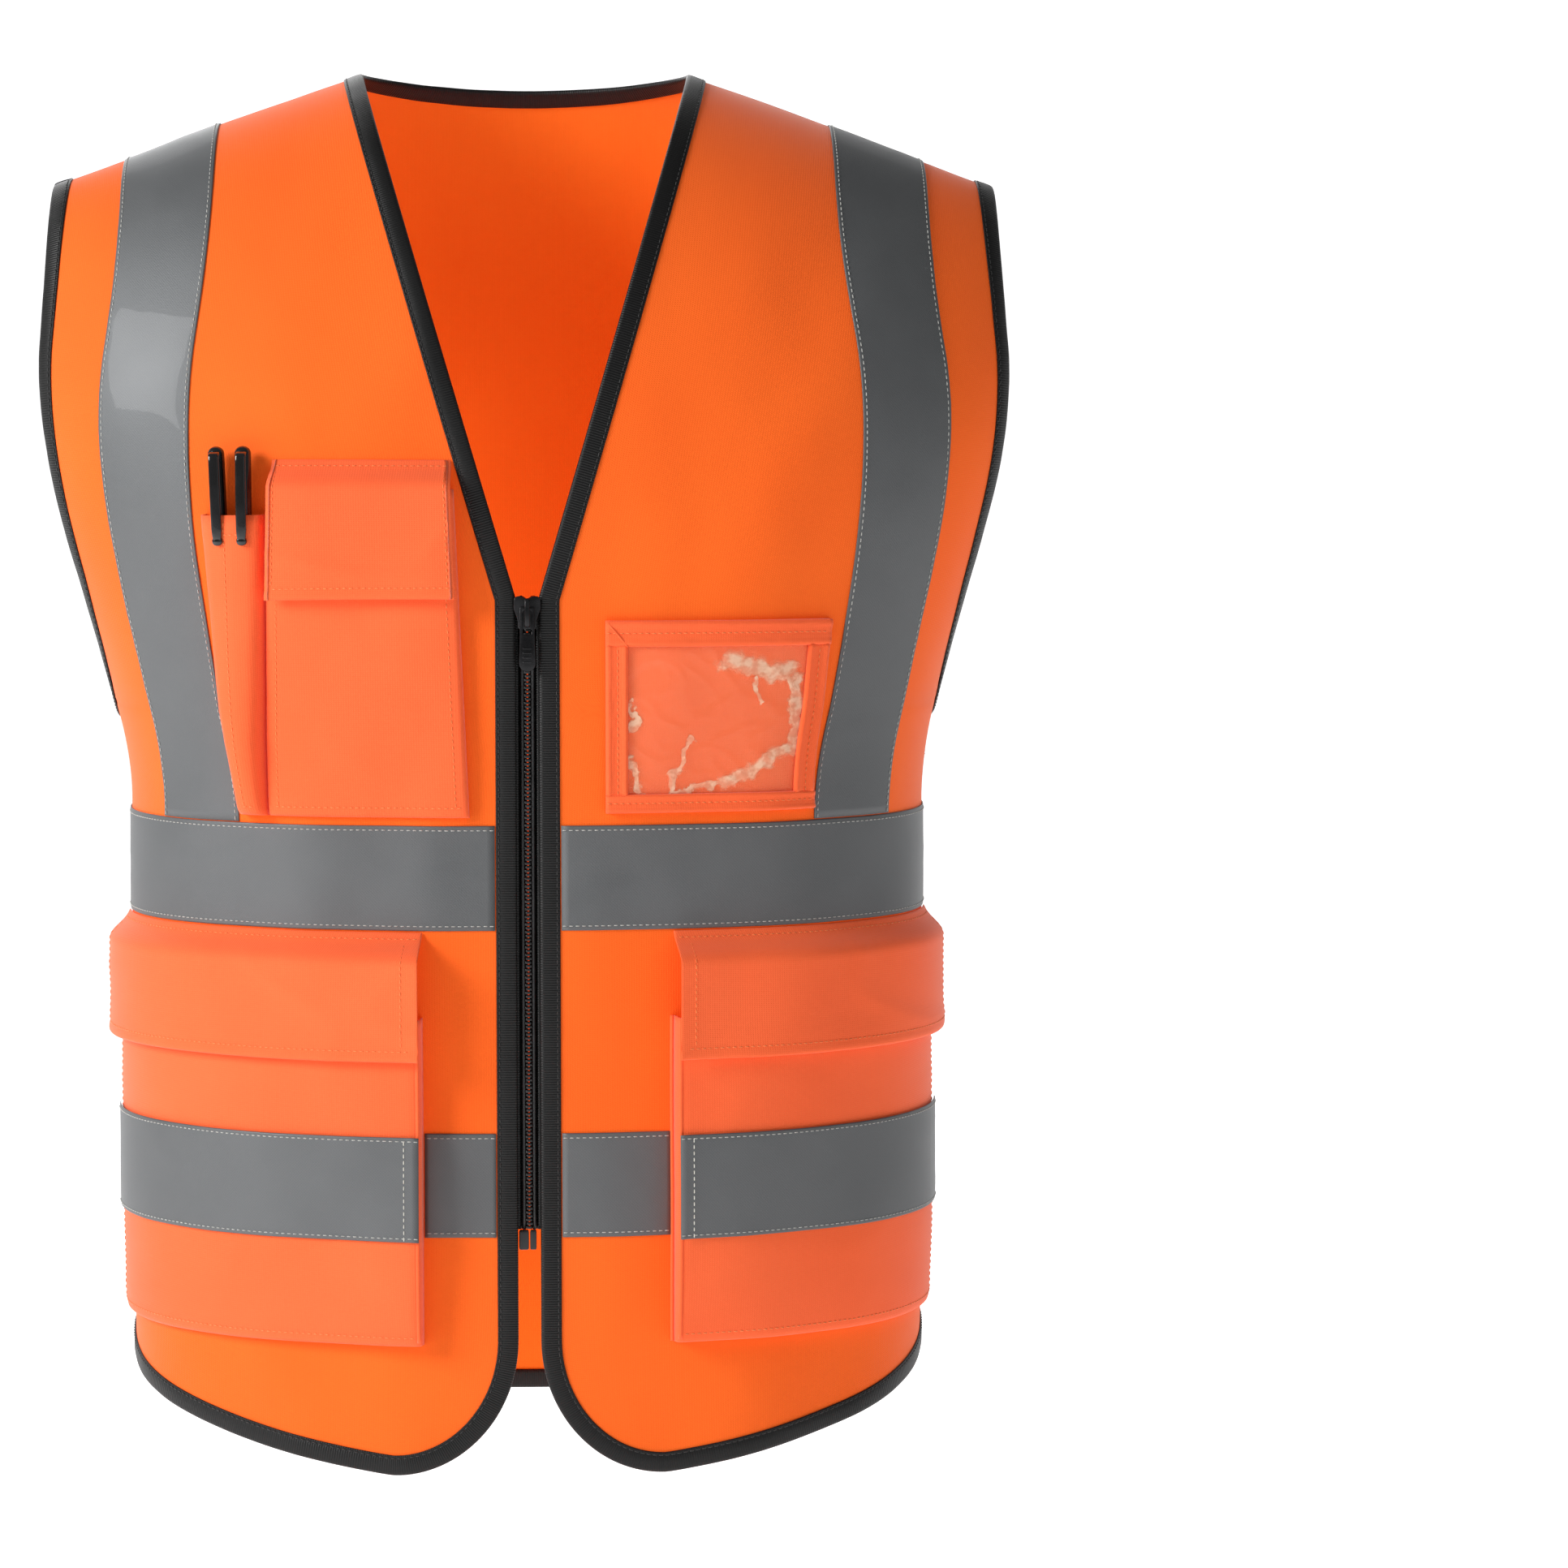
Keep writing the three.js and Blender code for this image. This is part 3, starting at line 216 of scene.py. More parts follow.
white_shader.inputs["Emission Color"].default_value = colour(1, 1, 1)
white_shader.inputs["Emission Strength"].default_value = 0.62
sweep_mesh.materials.append(white)

# ---- Front and back panels -------------------------------------------------------------------
# Three panels of knitted fluorescent polyester, cut to the body and sewn at the shoulders and
# sides. Heights are from the lowest point of the front hem, less the height of the shoulders.
origin_height = 0.656
waist_half_width = 0.199
flare = 0.057
flare_below_armpit = 0.052
flare_above_armpit = 0.178
front_depth = 0.140
back_depth = 0.110
squareness = 2.4
seam_gap = 0.0006
hem_rise = 0.046
back_hem_drop = 0.006
side_length = 0.326
armhole_height = 0.256
shoulder_drop = 0.056
neck_depth = 0.256
armpit_z = hem_rise + side_length - origin_height
tip_z = armpit_z + armhole_height
neck_z = tip_z + shoulder_drop
roll_start = tip_z - 0.178  # above this the body turns in to the shoulders
hem_z = -origin_height
neck_half_width = 0.081
tip_half_width = 0.236
v_bottom = neck_z - neck_depth
back_neck_drop = 0.005
nape_rounding = 0.040
zip_gap = 0.011
corner_width = 0.061
corner_height = 0.067
cloth_base = 0.0001
cloth_thickness = 0.0009
binding_width = 0.010
edge_inset = 0.0018
FRONT, BACK = -1, 1
SIDES = (("right", -1), ("left", 1))
seam_level = roll_start + 90  # levels above roll_start count degrees of the shoulder roll


def ridge(x):
    return np.hypot(x, nape_rounding)


shoulder_slope = shoulder_drop / (ridge(tip_half_width) - ridge(neck_half_width))


def smooth(value, low, high):
    """From 0 at low to 1 at high, with soft ends."""
    t = np.clip((value - low) / (high - low), 0, 1)
    return t * t * (3 - 2 * t)


def half_width_at(z):
    """Half the body's width, which flares from the waist to the shoulders."""
    rising = smooth(z, armpit_z - flare_below_armpit, armpit_z + flare_above_armpit)
    return waist_half_width + flare * rising


def shoulder_z(x):
    """Height of the shoulder seam."""
    return neck_z - (ridge(x) - ridge(neck_half_width)) * shoulder_slope


def reach_at(x, z):
    """Share of the full depth that the body has at x: 1 in the middle and 0 at the side."""
    across = np.minimum(np.abs(x) / half_width_at(z), 1)
    return np.maximum(np.maximum(1 - across**squareness, 0) ** (1 / squareness), 1e-3)


def body_slope(face, x, y, z):
    """The body's outward direction at a point of its surface, of any length."""
    depth = front_depth if face == FRONT else back_depth
    width = half_width_at(z)
    step = 0.0005
    widening = (half_width_at(z + step) - half_width_at(z - step)) / (2 * step)
    reach = reach_at(x, z)
    rise = shoulder_z(x) - roll_start
    roll = np.maximum((z - roll_start) / rise, 0)
    flat = 1 - roll * roll
    across = np.minimum(np.abs(x) / width, 1)
    sign = np.where(x < 0, -1.0, 1.0)
    fall = shoulder_slope * x / ridge(x)
    steep = across ** (squareness - 1) * reach ** (1 - squareness)
    sideways = (roll * reach) ** 2 * fall / rise + flat * reach * steep * sign / width
    upward = roll * reach * reach / rise - flat * reach * steep * across * widening / width
    return np.stack([sideways, y / depth**2, upward], -1)


def unit(vectors):
    return vectors / np.linalg.norm(vectors, axis=-1, keepdims=True)


def form(face, x, z):
    """Where the body's surface is at x and z, and its outward normal."""
    x, z = np.broadcast_arrays(np.asarray(x, float), np.asarray(z, float))
    depth = front_depth if face == FRONT else back_depth
    roll = np.maximum((z - roll_start) / (shoulder_z(x) - roll_start), 0)
    y = face * depth * reach_at(x, z) * np.sqrt(np.maximum(1 - roll * roll, 0))
    return np.stack([x, y + face * seam_gap / 2, z], -1), unit(body_slope(face, x, y, z))


def settled(face, points):
    """Points moved on to the body's surface."""
    depth = front_depth if face == FRONT else back_depth
    for _ in range(6):
        x, y, z = np.moveaxis(points, -1, 0)
        y = face * np.maximum(face * y - seam_gap / 2, 0)
        roll = np.maximum((z - roll_start) / (shoulder_z(x) - roll_start), 0)
        slope = 2 * body_slope(face, x, y, z)
        excess = (y / depth) ** 2 - (1 - roll * roll) * reach_at(x, z) ** 2
        size = np.maximum((slope**2).sum(-1), 1e-6)
        points = points - slope * (excess / size)[..., None]
    return points


def lattice_noise(u, v, seed):
    """Smooth noise from -1 to 1 over a plane, with one bump to each unit."""
    cell_u, cell_v = np.floor(u).astype(np.int64), np.floor(v).astype(np.int64)
    fu, fv = u - cell_u, v - cell_v
    fu, fv = fu * fu * fu * (fu * (6 * fu - 15) + 10), fv * fv * fv * (fv * (6 * fv - 15) + 10)

    def gradient(du, dv):
        mixed = (cell_u + du) * 73856093 ^ (cell_v + dv) * 19349663 ^ seed * 83492791
        mixed = (mixed ^ (mixed >> 13)) * 1274126177
        angle = ((mixed ^ (mixed >> 16)) % 6283) / 1000
        return np.cos(angle) * (u - cell_u - du) + np.sin(angle) * (v - cell_v - dv)

    low = gradient(0, 0) * (1 - fu) + gradient(1, 0) * fu
    high = gradient(0, 1) * (1 - fu) + gradient(1, 1) * fu
    return 1.5 * (low * (1 - fv) + high * fv)


def creases(u, v, seed):
    """Soft ridges where the noise passes zero, from 0 to 1, as cloth that has been folded."""
    return np.clip(1 - 4 * np.abs(lattice_noise(u, v, seed)), 0, 1) ** 2


def drape(face, x, z):
    """How far the cloth stands off the smooth body where it hangs in folds, in metres."""
    seed = 11 if face == FRONT else 29
    side = np.where(x < 0, 3.7, 0.0)
    lean = x * 0.22 * np.sign(x)
    fold = lattice_noise(x / 0.062 + side + 0.8 * z, (z + lean) / 0.30, seed)
    drag = lattice_noise((x - 0.45 * z) / 0.055 + side, (z + 0.45 * x) / 0.17, seed + 1)
    small = lattice_noise(x / 0.022, z / 0.034, seed + 2)
    low = 1 - smooth(z, -0.20, 0.0)
    sides = smooth(np.abs(x), 0.01, 0.05) * (1 - 0.6 * smooth(np.abs(x), 0.15, 0.2))
    hem = smooth(z, hem_z, hem_z + 0.12)
    shoulder = 1 - smooth(z, -0.05, 0.02)
    large = 0.0026 * fold * (0.4 + 0.6 * low) + 0.0018 * drag * (0.4 + 0.6 * hem)
    return (large * sides + 0.00022 * small) * (0.25 + 0.75 * shoulder)


def on_body(face, x, z, offset):
    """A point of the hanging cloth, moved off the body by an offset."""
    point, normal = form(face, x, z)
    return point + normal * np.asarray(offset + drape(face, x, z))[..., None]


def run_length(points):
    """Distance along a line of points, from 0 at its first."""
    steps = np.linalg.norm(np.diff(points, axis=0), axis=1)
    return np.concatenate([[0], np.cumsum(steps)])


quarter_angle = np.linspace(0, math.pi / 2, 1201)
quarter_across = np.sin(quarter_angle) ** (2 / squareness)
quarter_y = front_depth * np.cos(quarter_angle) ** (2 / squareness)
quarter_y[-1] = 0
quarter_steps = np.hypot(np.diff(waist_half_width * quarter_across), np.diff(quarter_y))
quarter_length = np.concatenate([[0], np.cumsum(quarter_steps)])


def round_to(x, z):
    """Distance round the body from the middle to x."""
    return np.interp(np.abs(x) / half_width_at(z), quarter_across, quarter_length) * np.sign(x)


def x_round(distance, z):
    """The x at a distance round the body."""
    across = np.interp(np.abs(distance), quarter_length, quarter_across)
    return across * half_width_at(z) * np.sign(distance)


def x_between(xa, xb, share, z):
    """The x at a share of the way round the body from one x to another."""
    ra, rb = round_to(xa, z), round_to(xb, z)
    return x_round(ra + (rb - ra) * share, z)


def edge_column(edge, heights):
    """A column of the x that an edge's rule gives at each height."""
    return np.array([[edge(z[0])] for z in heights])


def level_z(level, x):
    """The height of a level at x."""
    turn = np.radians(np.maximum(level - roll_start, 0))
    rolled = roll_start + (shoulder_z(x) - roll_start) * np.sin(turn)
    return np.where(level <= roll_start, level, rolled)


def settle(find, level, x):
    """Repeats an edge rule until its x and the level's height agree."""
    for _ in range(14):
        x = find(level_z(level, x))
    return x


def front_edge(z):
    along = np.clip((z - v_bottom) / neck_depth, 0, 1)
    return zip_gap / 2 + (neck_half_width - zip_gap / 2) * along


tip_reach = (1 - (tip_half_width / (waist_half_width + flare)) ** squareness) ** (1 / squareness)


def outer_edge(z, inset=0.0):
    """x of the side seam, and of the armhole above it."""
    climb = np.clip((z + inset - armpit_z) / armhole_height, 0, 1)
    reach = tip_reach * np.sqrt(1 - (1 - climb) ** 2)
    return half_width_at(z) * (1 - reach**squareness) ** (1 / squareness)


def cloth_outer(z):
    return outer_edge(z, edge_inset) - edge_inset * smooth(z, armpit_z - 0.002, armpit_z + 0.01)


def front_hem(share):
    return hem_z + hem_rise * share**1.2


def back_hem(share):
    return hem_z + (hem_rise + back_hem_drop) * np.abs(share) ** 2.2 - back_hem_drop


def levels_between(low, high, step=0.004, turn=2.0):
    """Levels a few millimetres apart, and a few degrees apart up the roll."""
    parts = []
    if low < roll_start:
        top = min(high, roll_start)
        parts.append(np.linspace(low, top, max(2, round((top - low) / step) + 1)))
    if high > roll_start:
        base = max(low, roll_start)
        parts.append(np.linspace(base, high, max(2, round((high - base) / turn) + 1)))
    return np.unique(np.concatenate(parts))


def mesh_piece(name, points, faces, skin, cloth_map=None):
    """A new smooth-shaded object from points and faces, with a map of the cloth in metres."""
    mesh = bpy.data.meshes.new(name)
    mesh.from_pydata([tuple(p) for p in points], [], [tuple(int(i) for i in f) for f in faces])
    mesh.polygons.foreach_set("use_smooth", [True] * len(mesh.polygons))
    if cloth_map is not None:
        loops = np.zeros(len(mesh.loops), np.int32)
        mesh.loops.foreach_get("vertex_index", loops)
        layer = mesh.uv_layers.new(name="cloth")
        layer.uv.foreach_set("vector", np.asarray(cloth_map, np.float32)[loops].ravel())
    mesh.materials.append(skin)
    made = bpy.data.objects.new(name, mesh)
    scene.collection.objects.link(made)
    return made


def cloth_piece(name, top, under, skin, painted_light_inside=None):
    """A closed sheet between a top and an under grid of points, with rounded rims."""
    rows, columns = top.shape[:2]
    middle = (top + under) / 2
    across = np.linalg.norm(np.diff(middle, axis=1), axis=2)
    up = np.linalg.norm(np.diff(middle, axis=0), axis=2)
    u = np.concatenate([np.zeros((rows, 1)), np.cumsum(across, 1)], 1)
    u -= u[:, columns // 2 : columns // 2 + 1]
    v = np.concatenate([np.zeros((1, columns)), np.cumsum(up, 0)], 0)
    flat = np.stack([u, v], -1).reshape(-1, 2)
    points = np.concatenate([top.reshape(-1, 3), under.reshape(-1, 3)])
    number = np.arange(rows * columns).reshape(rows, columns)
    a, b, c, d = number[:-1, :-1], number[:-1, 1:], number[1:, 1:], number[1:, :-1]
    upper = np.stack([a, b, c, d], -1).reshape(-1, 4)
    lower = upper[:, ::-1] + rows * columns
    ring = np.concatenate([number[0], number[1:, -1], number[-1, -2::-1], number[-2:0:-1, 0]])
    after = np.roll(ring, -1)
    wall = np.stack([after, ring, ring + rows * columns, after + rows * columns], -1)
    normal = np.cross(top[0, 1] - top[0, 0], top[1, 0] - top[0, 0])
    all_faces = np.concatenate([upper, lower, wall])
    if np.dot(normal, (top - under)[0, 0]) < 0:
        all_faces = all_faces[:, ::-1]
    made = mesh_piece(name, points, all_faces, skin, np.concatenate([flat, flat]))
    # the under faces take a second material: the same knit made lighter, as painted light on the
    # shaded inside
    if painted_light_inside is not None:
        made.data.materials.append(painted_light_inside)
        slots = np.zeros(len(all_faces), np.int32)
        slots[len(upper) : 2 * len(upper)] = 1
        made.data.polygons.foreach_set("material_index", slots)
    return made


def tube(name, loops, skin, cloth_map=None):
    """A closed tube through rings of points, its faces turned outward."""
    count, sides = loops.shape[:2]
    number = np.arange(count * sides).reshape(count, sides)
    turned = np.roll(number, -1, 1)
    faces = np.stack([number[:-1], turned[:-1], turned[1:], number[1:]], -1).reshape(-1, 4)
    faces = [tuple(f) for f in faces] + [tuple(number[0][::-1]), tuple(number[-1])]
    made = mesh_piece(name, loops.reshape(-1, 3), faces, skin, cloth_map)
    shape = bmesh.new()
    shape.from_mesh(made.data)
    if shape.calc_volume(signed=True) < 0:
        bmesh.ops.reverse_faces(shape, faces=shape.faces)
        shape.to_mesh(made.data)
    shape.free()
    return made


def knit(name, main, shade, painted_glow):
    """Fine warp-knitted polyester: tiny slanted stitches in columns, dyed a fluorescent colour,
    with a painted glow from its emission.
    """
    made, shader, at = material(name, Sheen_Weight=0.25, Sheen_Roughness=0.4)
    shader.inputs["Specular IOR Level"].default_value = 0.25
    flat = at.node("ShaderNodeUVMap", uv_map="cloth")
    x, y = flat.part("X"), flat.part("Y")
    column = (x * 5200).sine()
    stitch = (y * 6400 + column * 1.3).sine()
    yarn = flat.noise(900, 3)
    height = column * 0.35 + stitch * 0.4 + yarn * 0.8
    cloud = flat.noise(9, 3)
    tone = (cloud - 0.5) * 0.5 + (stitch * 0.06) + (yarn - 0.5) * 0.35 + 0.5
    tone.steps(0.1, 0.9).blended(shade, main).feed(shader, "Base Color")
    (yarn * 0.2 + 0.68).feed(shader, "Roughness")
    height.bump(0.35, 0.0002).feed(shader, "Normal")
    # painted glow: the cloth emits light of its own, standing in for its fluorescence and lifting
    # its shade
    shader.inputs["Emission Color"].default_value = painted_glow
    shader.inputs["Emission Strength"].default_value = 0.1
    return made


# the last colour of each knit is its painted glow
body_cloth = knit(
    "orange_knit", colour(1.0, 0.155, 0.012), colour(0.93, 0.11, 0.006), colour(1.0, 0.13, 0.01)
)
pocket_knit = knit(
    "pocket_knit", colour(1.0, 0.165, 0.05), colour(0.92, 0.11, 0.026), colour(1.0, 0.12, 0.03)
)
# The inside faces: the same knit made lighter and given a stronger painted glow, as painted light
# on the shaded inside of the vest.
inner_knit_painted_light = knit(
    "inner_knit_painted_light", colour(1.0, 0.21, 0.012), colour(0.92, 0.165, 0.006), colour(1.0, 0.16, 0.005)
)


def bend_from_shoulder(piece):
    """Bakes the piece's placing into its points; it is not bent or attached to any body."""
    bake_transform(piece)


corner_centre = zip_gap / 2 + corner_width
corner_turns = np.radians(np.linspace(0, 84, 15))
corner_x = corner_centre - (corner_width - edge_inset) * np.cos(corner_turns)
side_share = np.linspace(0, 1, 52)
start_round = round_to(corner_centre, hem_z)
side_x = x_round(start_round + side_share * (quarter_length[-1] - start_round), hem_z)
panel_x = np.concatenate([corner_x, side_x])
inner_round = round_to(zip_gap / 2 + edge_inset, hem_z)
panel_share = (round_to(panel_x, hem_z) - inner_round) / (quarter_length[-1] - inner_round)
hem_heights = np.concatenate(
    [
        hem_z + corner_height - (corner_height - edge_inset) * np.sin(corner_turns),
        front_hem(side_share) + edge_inset,
    ]
)


def grid_between(levels, edge_a, edge_b, share):
    """x and z over a piece between two edges, each a rule that gives x from a height."""
    level = np.asarray(levels)
    xa = settle(edge_a, level, np.full(level.shape, 0.1))
    xb = settle(edge_b, level, np.full(level.shape, 0.1))
    z = level_z(level, (xa + xb) / 2)
    ra, rb = round_to(xa, z), round_to(xb, z)
    distance = ra[:, None] + (rb - ra)[:, None] * share
    x = x_round(distance, z[:, None])
    return x, level_z(level[:, None], x)


def cloth_levels(z):
    return front_edge(z) + edge_inset


for side_name, side in SIDES:
    levels = levels_between(hem_z + corner_height + 0.025, seam_level)
    x, z = grid_between(levels, cloth_levels, cloth_outer, panel_share)
    low_share = np.linspace(0, 1, 24)[:-1, None]
    low_x = panel_x + (x[0] - panel_x) * low_share
    low_z = hem_heights + (z[0] - hem_heights) * low_share
    x, z = side * np.concatenate([low_x, x]), np.concatenate([low_z, z])
    outside = on_body(FRONT, x, z, cloth_base + cloth_thickness)
    inside = on_body(FRONT, x, z, cloth_base)
    panel = cloth_piece(f"cloth_front_{side_name}", outside, inside, body_cloth, inner_knit_painted_light)
    bend_from_shoulder(panel)
    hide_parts(f"front_panel_{side_name}")


def neck_roll(x, inset=0.0):
    """Degrees of roll at which the back meets the neck edge."""
    across = np.minimum(np.abs(x) / (neck_half_width + inset), 1)
    z = neck_z - (back_neck_drop + 3 * inset) * (1 - across * across)
    rise = np.clip((z - roll_start) / (shoulder_z(x) - roll_start), 0, 1)
    return np.where(across >= 1, 90.0, np.degrees(np.arcsin(rise)))


def back_level_z(level, x, inset=0.0):
    turn = np.radians(np.maximum(level - roll_start, 0) * neck_roll(x, inset) / 90)
    rolled = roll_start + (shoulder_z(x) - roll_start) * np.sin(turn)
    return np.where(level <= roll_start, level, rolled)


def back_grid(levels, edge, share, inset=0.0):
    """x and z over a piece of the back, from the wearer's right to the left."""
    level = np.asarray(levels)[:, None]
    z = level_z(level, 0.15) + 0 * share
    for _ in range(16):
        outer = edge(z)
        x = x_round(round_to(outer, z) * np.abs(share), z) * np.sign(share)
        z = back_level_z(level + 0 * share, x, inset)
    return x, z


def back_shares(neck_point, tip):
    """Shares across the back, closer together where the neck edge turns."""
    point_share = round_to(neck_point, tip_z) / round_to(tip, tip_z)
    neck = point_share * (1 - (1 - np.linspace(0, 1, 34)) ** 1.6)
    rest = np.linspace(point_share, 1, 44)[1:]
    half = np.concatenate([neck, rest])
    return np.concatenate([-half[:0:-1], half])


cloth_tip = settle(cloth_outer, np.array([seam_level]), np.array([0.2]))[0]
share = back_shares(neck_half_width + edge_inset, cloth_tip)
levels = levels_between(hem_z + hem_rise + 0.03, seam_level)
x, z = back_grid(levels, cloth_outer, share, edge_inset)
hem_x, hem_line = x_round(quarter_length[-1] * share, hem_z), back_hem(share) + 2 * edge_inset
low_share = np.linspace(0, 1, 22)[:-1, None]
x = np.concatenate([hem_x + (x[0] - hem_x) * low_share, x])
z = np.concatenate([hem_line + (z[0] - hem_line) * low_share, z])
outside = on_body(BACK, x, z, cloth_base + cloth_thickness)
inside = on_body(BACK, x, z, cloth_base)
panel = cloth_piece("cloth_back", outside, inside, body_cloth, inner_knit_painted_light)
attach(panel, "vest")
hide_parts("back_panel")


# ---- Stitching -------------------------------------------------------------------------------
# Lockstitch in polyester thread: orange on the cloth, black on the bindings and grey on the
# tapes. Each stitch is a short raised loop, a little over 2 mm long, sunk in at both ends.
stitch_length = 0.0023
stitch_pitch = 0.0031
thread_radius = 0.00027
stitch_sides = 5


def thread(name, light, dark):
    """Twisted sewing thread: fine slanted plies, dyed a little unevenly."""
    made, shader, at = material(name, Sheen_Weight=0.15)
    place = at.node("ShaderNodeTexCoord", out="Object")
    plies = ((place.part("X") + place.part("Y") + place.part("Z")) * 9000).sine()
    tone = place.noise(700) * 0.6 + plies * 0.2 + 0.2
    tone.steps(0.1, 0.9).blended(dark, light).feed(shader, "Base Color")
    (place.noise(300) * 0.2 + 0.5).feed(shader, "Roughness")
    return made


orange_thread = thread("orange_thread", colour(1.0, 0.3, 0.08), colour(0.8, 0.13, 0.02))
black_thread = thread("black_thread", colour(0.03, 0.03, 0.03), colour(0.008, 0.008, 0.008))
grey_thread = thread("grey_thread", colour(0.62, 0.62, 0.58), colour(0.3, 0.3, 0.28))


def stitching(name, lines, skin):
    """One object that holds every stitch of some lines, each a pair of points and normals."""
    angles = 2 * math.pi * np.arange(stitch_sides) / stitch_sides
    ring = np.stack([np.cos(angles), np.sin(angles)], -1) * thread_radius
    points, faces = [], []
    for line, normals in lines:
        length = run_length(line)
        middles = np.arange(stitch_pitch / 2, length[-1] - stitch_pitch / 2, stitch_pitch)

        def along(values, places):
            return np.stack([np.interp(places, length, values[:, k]) for k in range(3)], -1)

        up = unit(along(normals, middles))
        ends = [along(line, middles + s * stitch_length / 2) for s in (-1, -0.6, 0.6, 1)]
        ends = [end + up * thread_radius * lift for end, lift in zip(ends, (-0.8, 0.5, 0.5, -0.8))]
        run = unit(ends[3] - ends[0])
        side = np.cross(run, up)
        for k in range(len(middles)):
            start = len(points)
            points.append(ends[0][k])
            for end in (ends[1][k], ends[2][k]):
                points.extend(end + side[k] * a + up[k] * b for a, b in ring)
            points.append(ends[3][k])
            last = start + 1 + 2 * stitch_sides
            for i in range(stitch_sides):
                a, b = start + 1 + i, start + 1 + (i + 1) % stitch_sides
                c, d = a + stitch_sides, b + stitch_sides
                faces += [(start, b, a), (a, b, d, c), (c, d, last)]
    return mesh_piece(name, points, faces, skin)


def line_on(face, x, z, offset):
    """A line over the hanging cloth, with the normals along it."""
    x, z = np.broadcast_arrays(np.asarray(x, float), np.asarray(z, float))
    return on_body(face, x, z, offset), form(face, x, z)[1]


# ---- Reflective tapes ------------------------------------------------------------------------
# Two inch silver retroreflective tape: a woven backing with a coat of glass beads. Two level
# bands and an upright one over each shoulder, stitched along both edges.
tape_width = 0.0508
upper_band_top = armpit_z - 0.054
upper_band_bottom = upper_band_top - tape_width
back_band_raise = 0.026
lower_band_bottom = 0.1175 - origin_height
layer_gap = 0.0005
tape_base = 0.0012
tape_top = 0.0019
tape_stitch_inset = 0.0022
pocket_inset = {"right": 0.051, "left": 0.070}

beads, beads_shader, at = material("glass_bead_tape", Metallic=0.35, Coat_Weight=0.08)
beads_flat = at.node("ShaderNodeUVMap", uv_map="cloth")
sparkle = beads_flat.noise(5200, 1)
weave = (beads_flat.part("X") * 4400).sine() * (beads_flat.part("Y") * 4400).sine()
wear = beads_flat.noise(26, 4)
cells = at.node("ShaderNodeTexVoronoi", {"Vector": beads_flat, "Scale": 1500.0})
bead_tone = (sparkle - 0.5) * 0.9 + (wear - 0.5) * 0.25 + weave * 0.05 + 0.5
bead_base = bead_tone.steps(0, 1).blended(colour(0.085, 0.09, 0.094), colour(0.17, 0.176, 0.18))
bead_base.feed(beads_shader, "Base Color")
(wear * 0.15 + sparkle * 0.12 + 0.42).feed(beads_shader, "Roughness")
bead_height = cells * 0.8 + weave * 0.3 + wear * 0.6
bead_height.bump(0.3, 0.00015).feed(beads_shader, "Normal")


def tape_piece(name, face, x, z, offset=0.0):
    """A strip of tape over a grid of places, its edges pressed down by their stitching."""
    rows, columns = x.shape
    edge = np.minimum(np.arange(rows), np.arange(rows)[::-1])[:, None]
    side = np.minimum(np.arange(columns), np.arange(columns)[::-1])[None, :]
    pressed = 0.00018 * np.exp(-np.minimum(edge, side) / 1.2)
    crumple = 0.00016 * creases(x / 0.05 + 9.1, (z + 0.4 * x) / 0.035, 5)
    top = on_body(face, x, z, tape_top + offset - pressed + crumple)
    under = on_body(face, x, z, tape_base + offset)
    piece = cloth_piece(name, top, under, beads)
    return piece


def beside_binding(z):
    return front_edge(z) + binding_width + layer_gap


band_levels = np.concatenate([[0, 0.0007, 0.0018], np.linspace(0.0036, tape_width - 0.0036, 15)])
band_levels = np.concatenate([band_levels, tape_width - np.array([0.0018, 0.0007, 0])])
line_heights = (tape_stitch_inset, tape_width - tape_stitch_inset)
line_rows = [(height, np.abs(band_levels - height).argmin()) for height in line_heights]
front_lines = {side_name: [] for side_name, _ in SIDES}
for side_name, side in SIDES:
    pocket_edge = pocket_inset[side_name] - layer_gap
    lower_length = pocket_inset[side_name] - 0.016
    for band_name, low, far_edge, columns, length in (
        ("upper_band", upper_band_bottom, outer_edge, 66, 0.268),
        ("lower_band", lower_band_bottom, lambda z: 0 * z + pocket_edge, 18, lower_length),
    ):
        share = np.linspace(0, 1, columns)
        x, z = grid_between(low + band_levels, beside_binding, far_edge, share)
        band = tape_piece(f"{band_name}_{side_name}", FRONT, side * x, z)
        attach(band, f"front_{side_name}")
        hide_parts(f"front_{band_name}_{side_name}")
        for height, row in line_rows:
            line = line_on(FRONT, side * x[row], low + height, tape_top)
            front_lines[side_name].append(line)

back_lines = []
band_share = np.linspace(-1, 1, 133)
for band_name, low in (
    ("back_upper_band", upper_band_bottom + back_band_raise),
    ("back_lower_band", lower_band_bottom),
):
    z = (low + band_levels)[:, None] + 0 * band_share
    x = x_round(round_to(outer_edge(z), z) * band_share, z)
    band = tape_piece(f"{band_name}_tape", BACK, x, z)
    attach(band, "vest")
    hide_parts(band_name)
    for height, row in line_rows:
        back_lines.append(line_on(BACK, x[row], low + height, tape_top))


def tape_middle(z):
    return outer_edge(z) - 0.039 - 0.021 * smooth(z, armpit_z, tip_z)


def along_level(face, level, start, distance):
    """The x values at some distances from a start, measured over the cloth along a level."""
    x = x_round(np.linspace(0, quarter_length[-1], 500), level_z(level, start))
    length = run_length(form(face, x, level_z(level, x))[0])
    return np.interp(np.interp(start, x, length) + distance, length, x)


def tape_inner(z):
    """The inner edge of the front's upright tape at a height."""
    level = min(z, roll_start)
    return float(along_level(FRONT, level, float(tape_middle(np.float64(z))), -tape_width / 2))


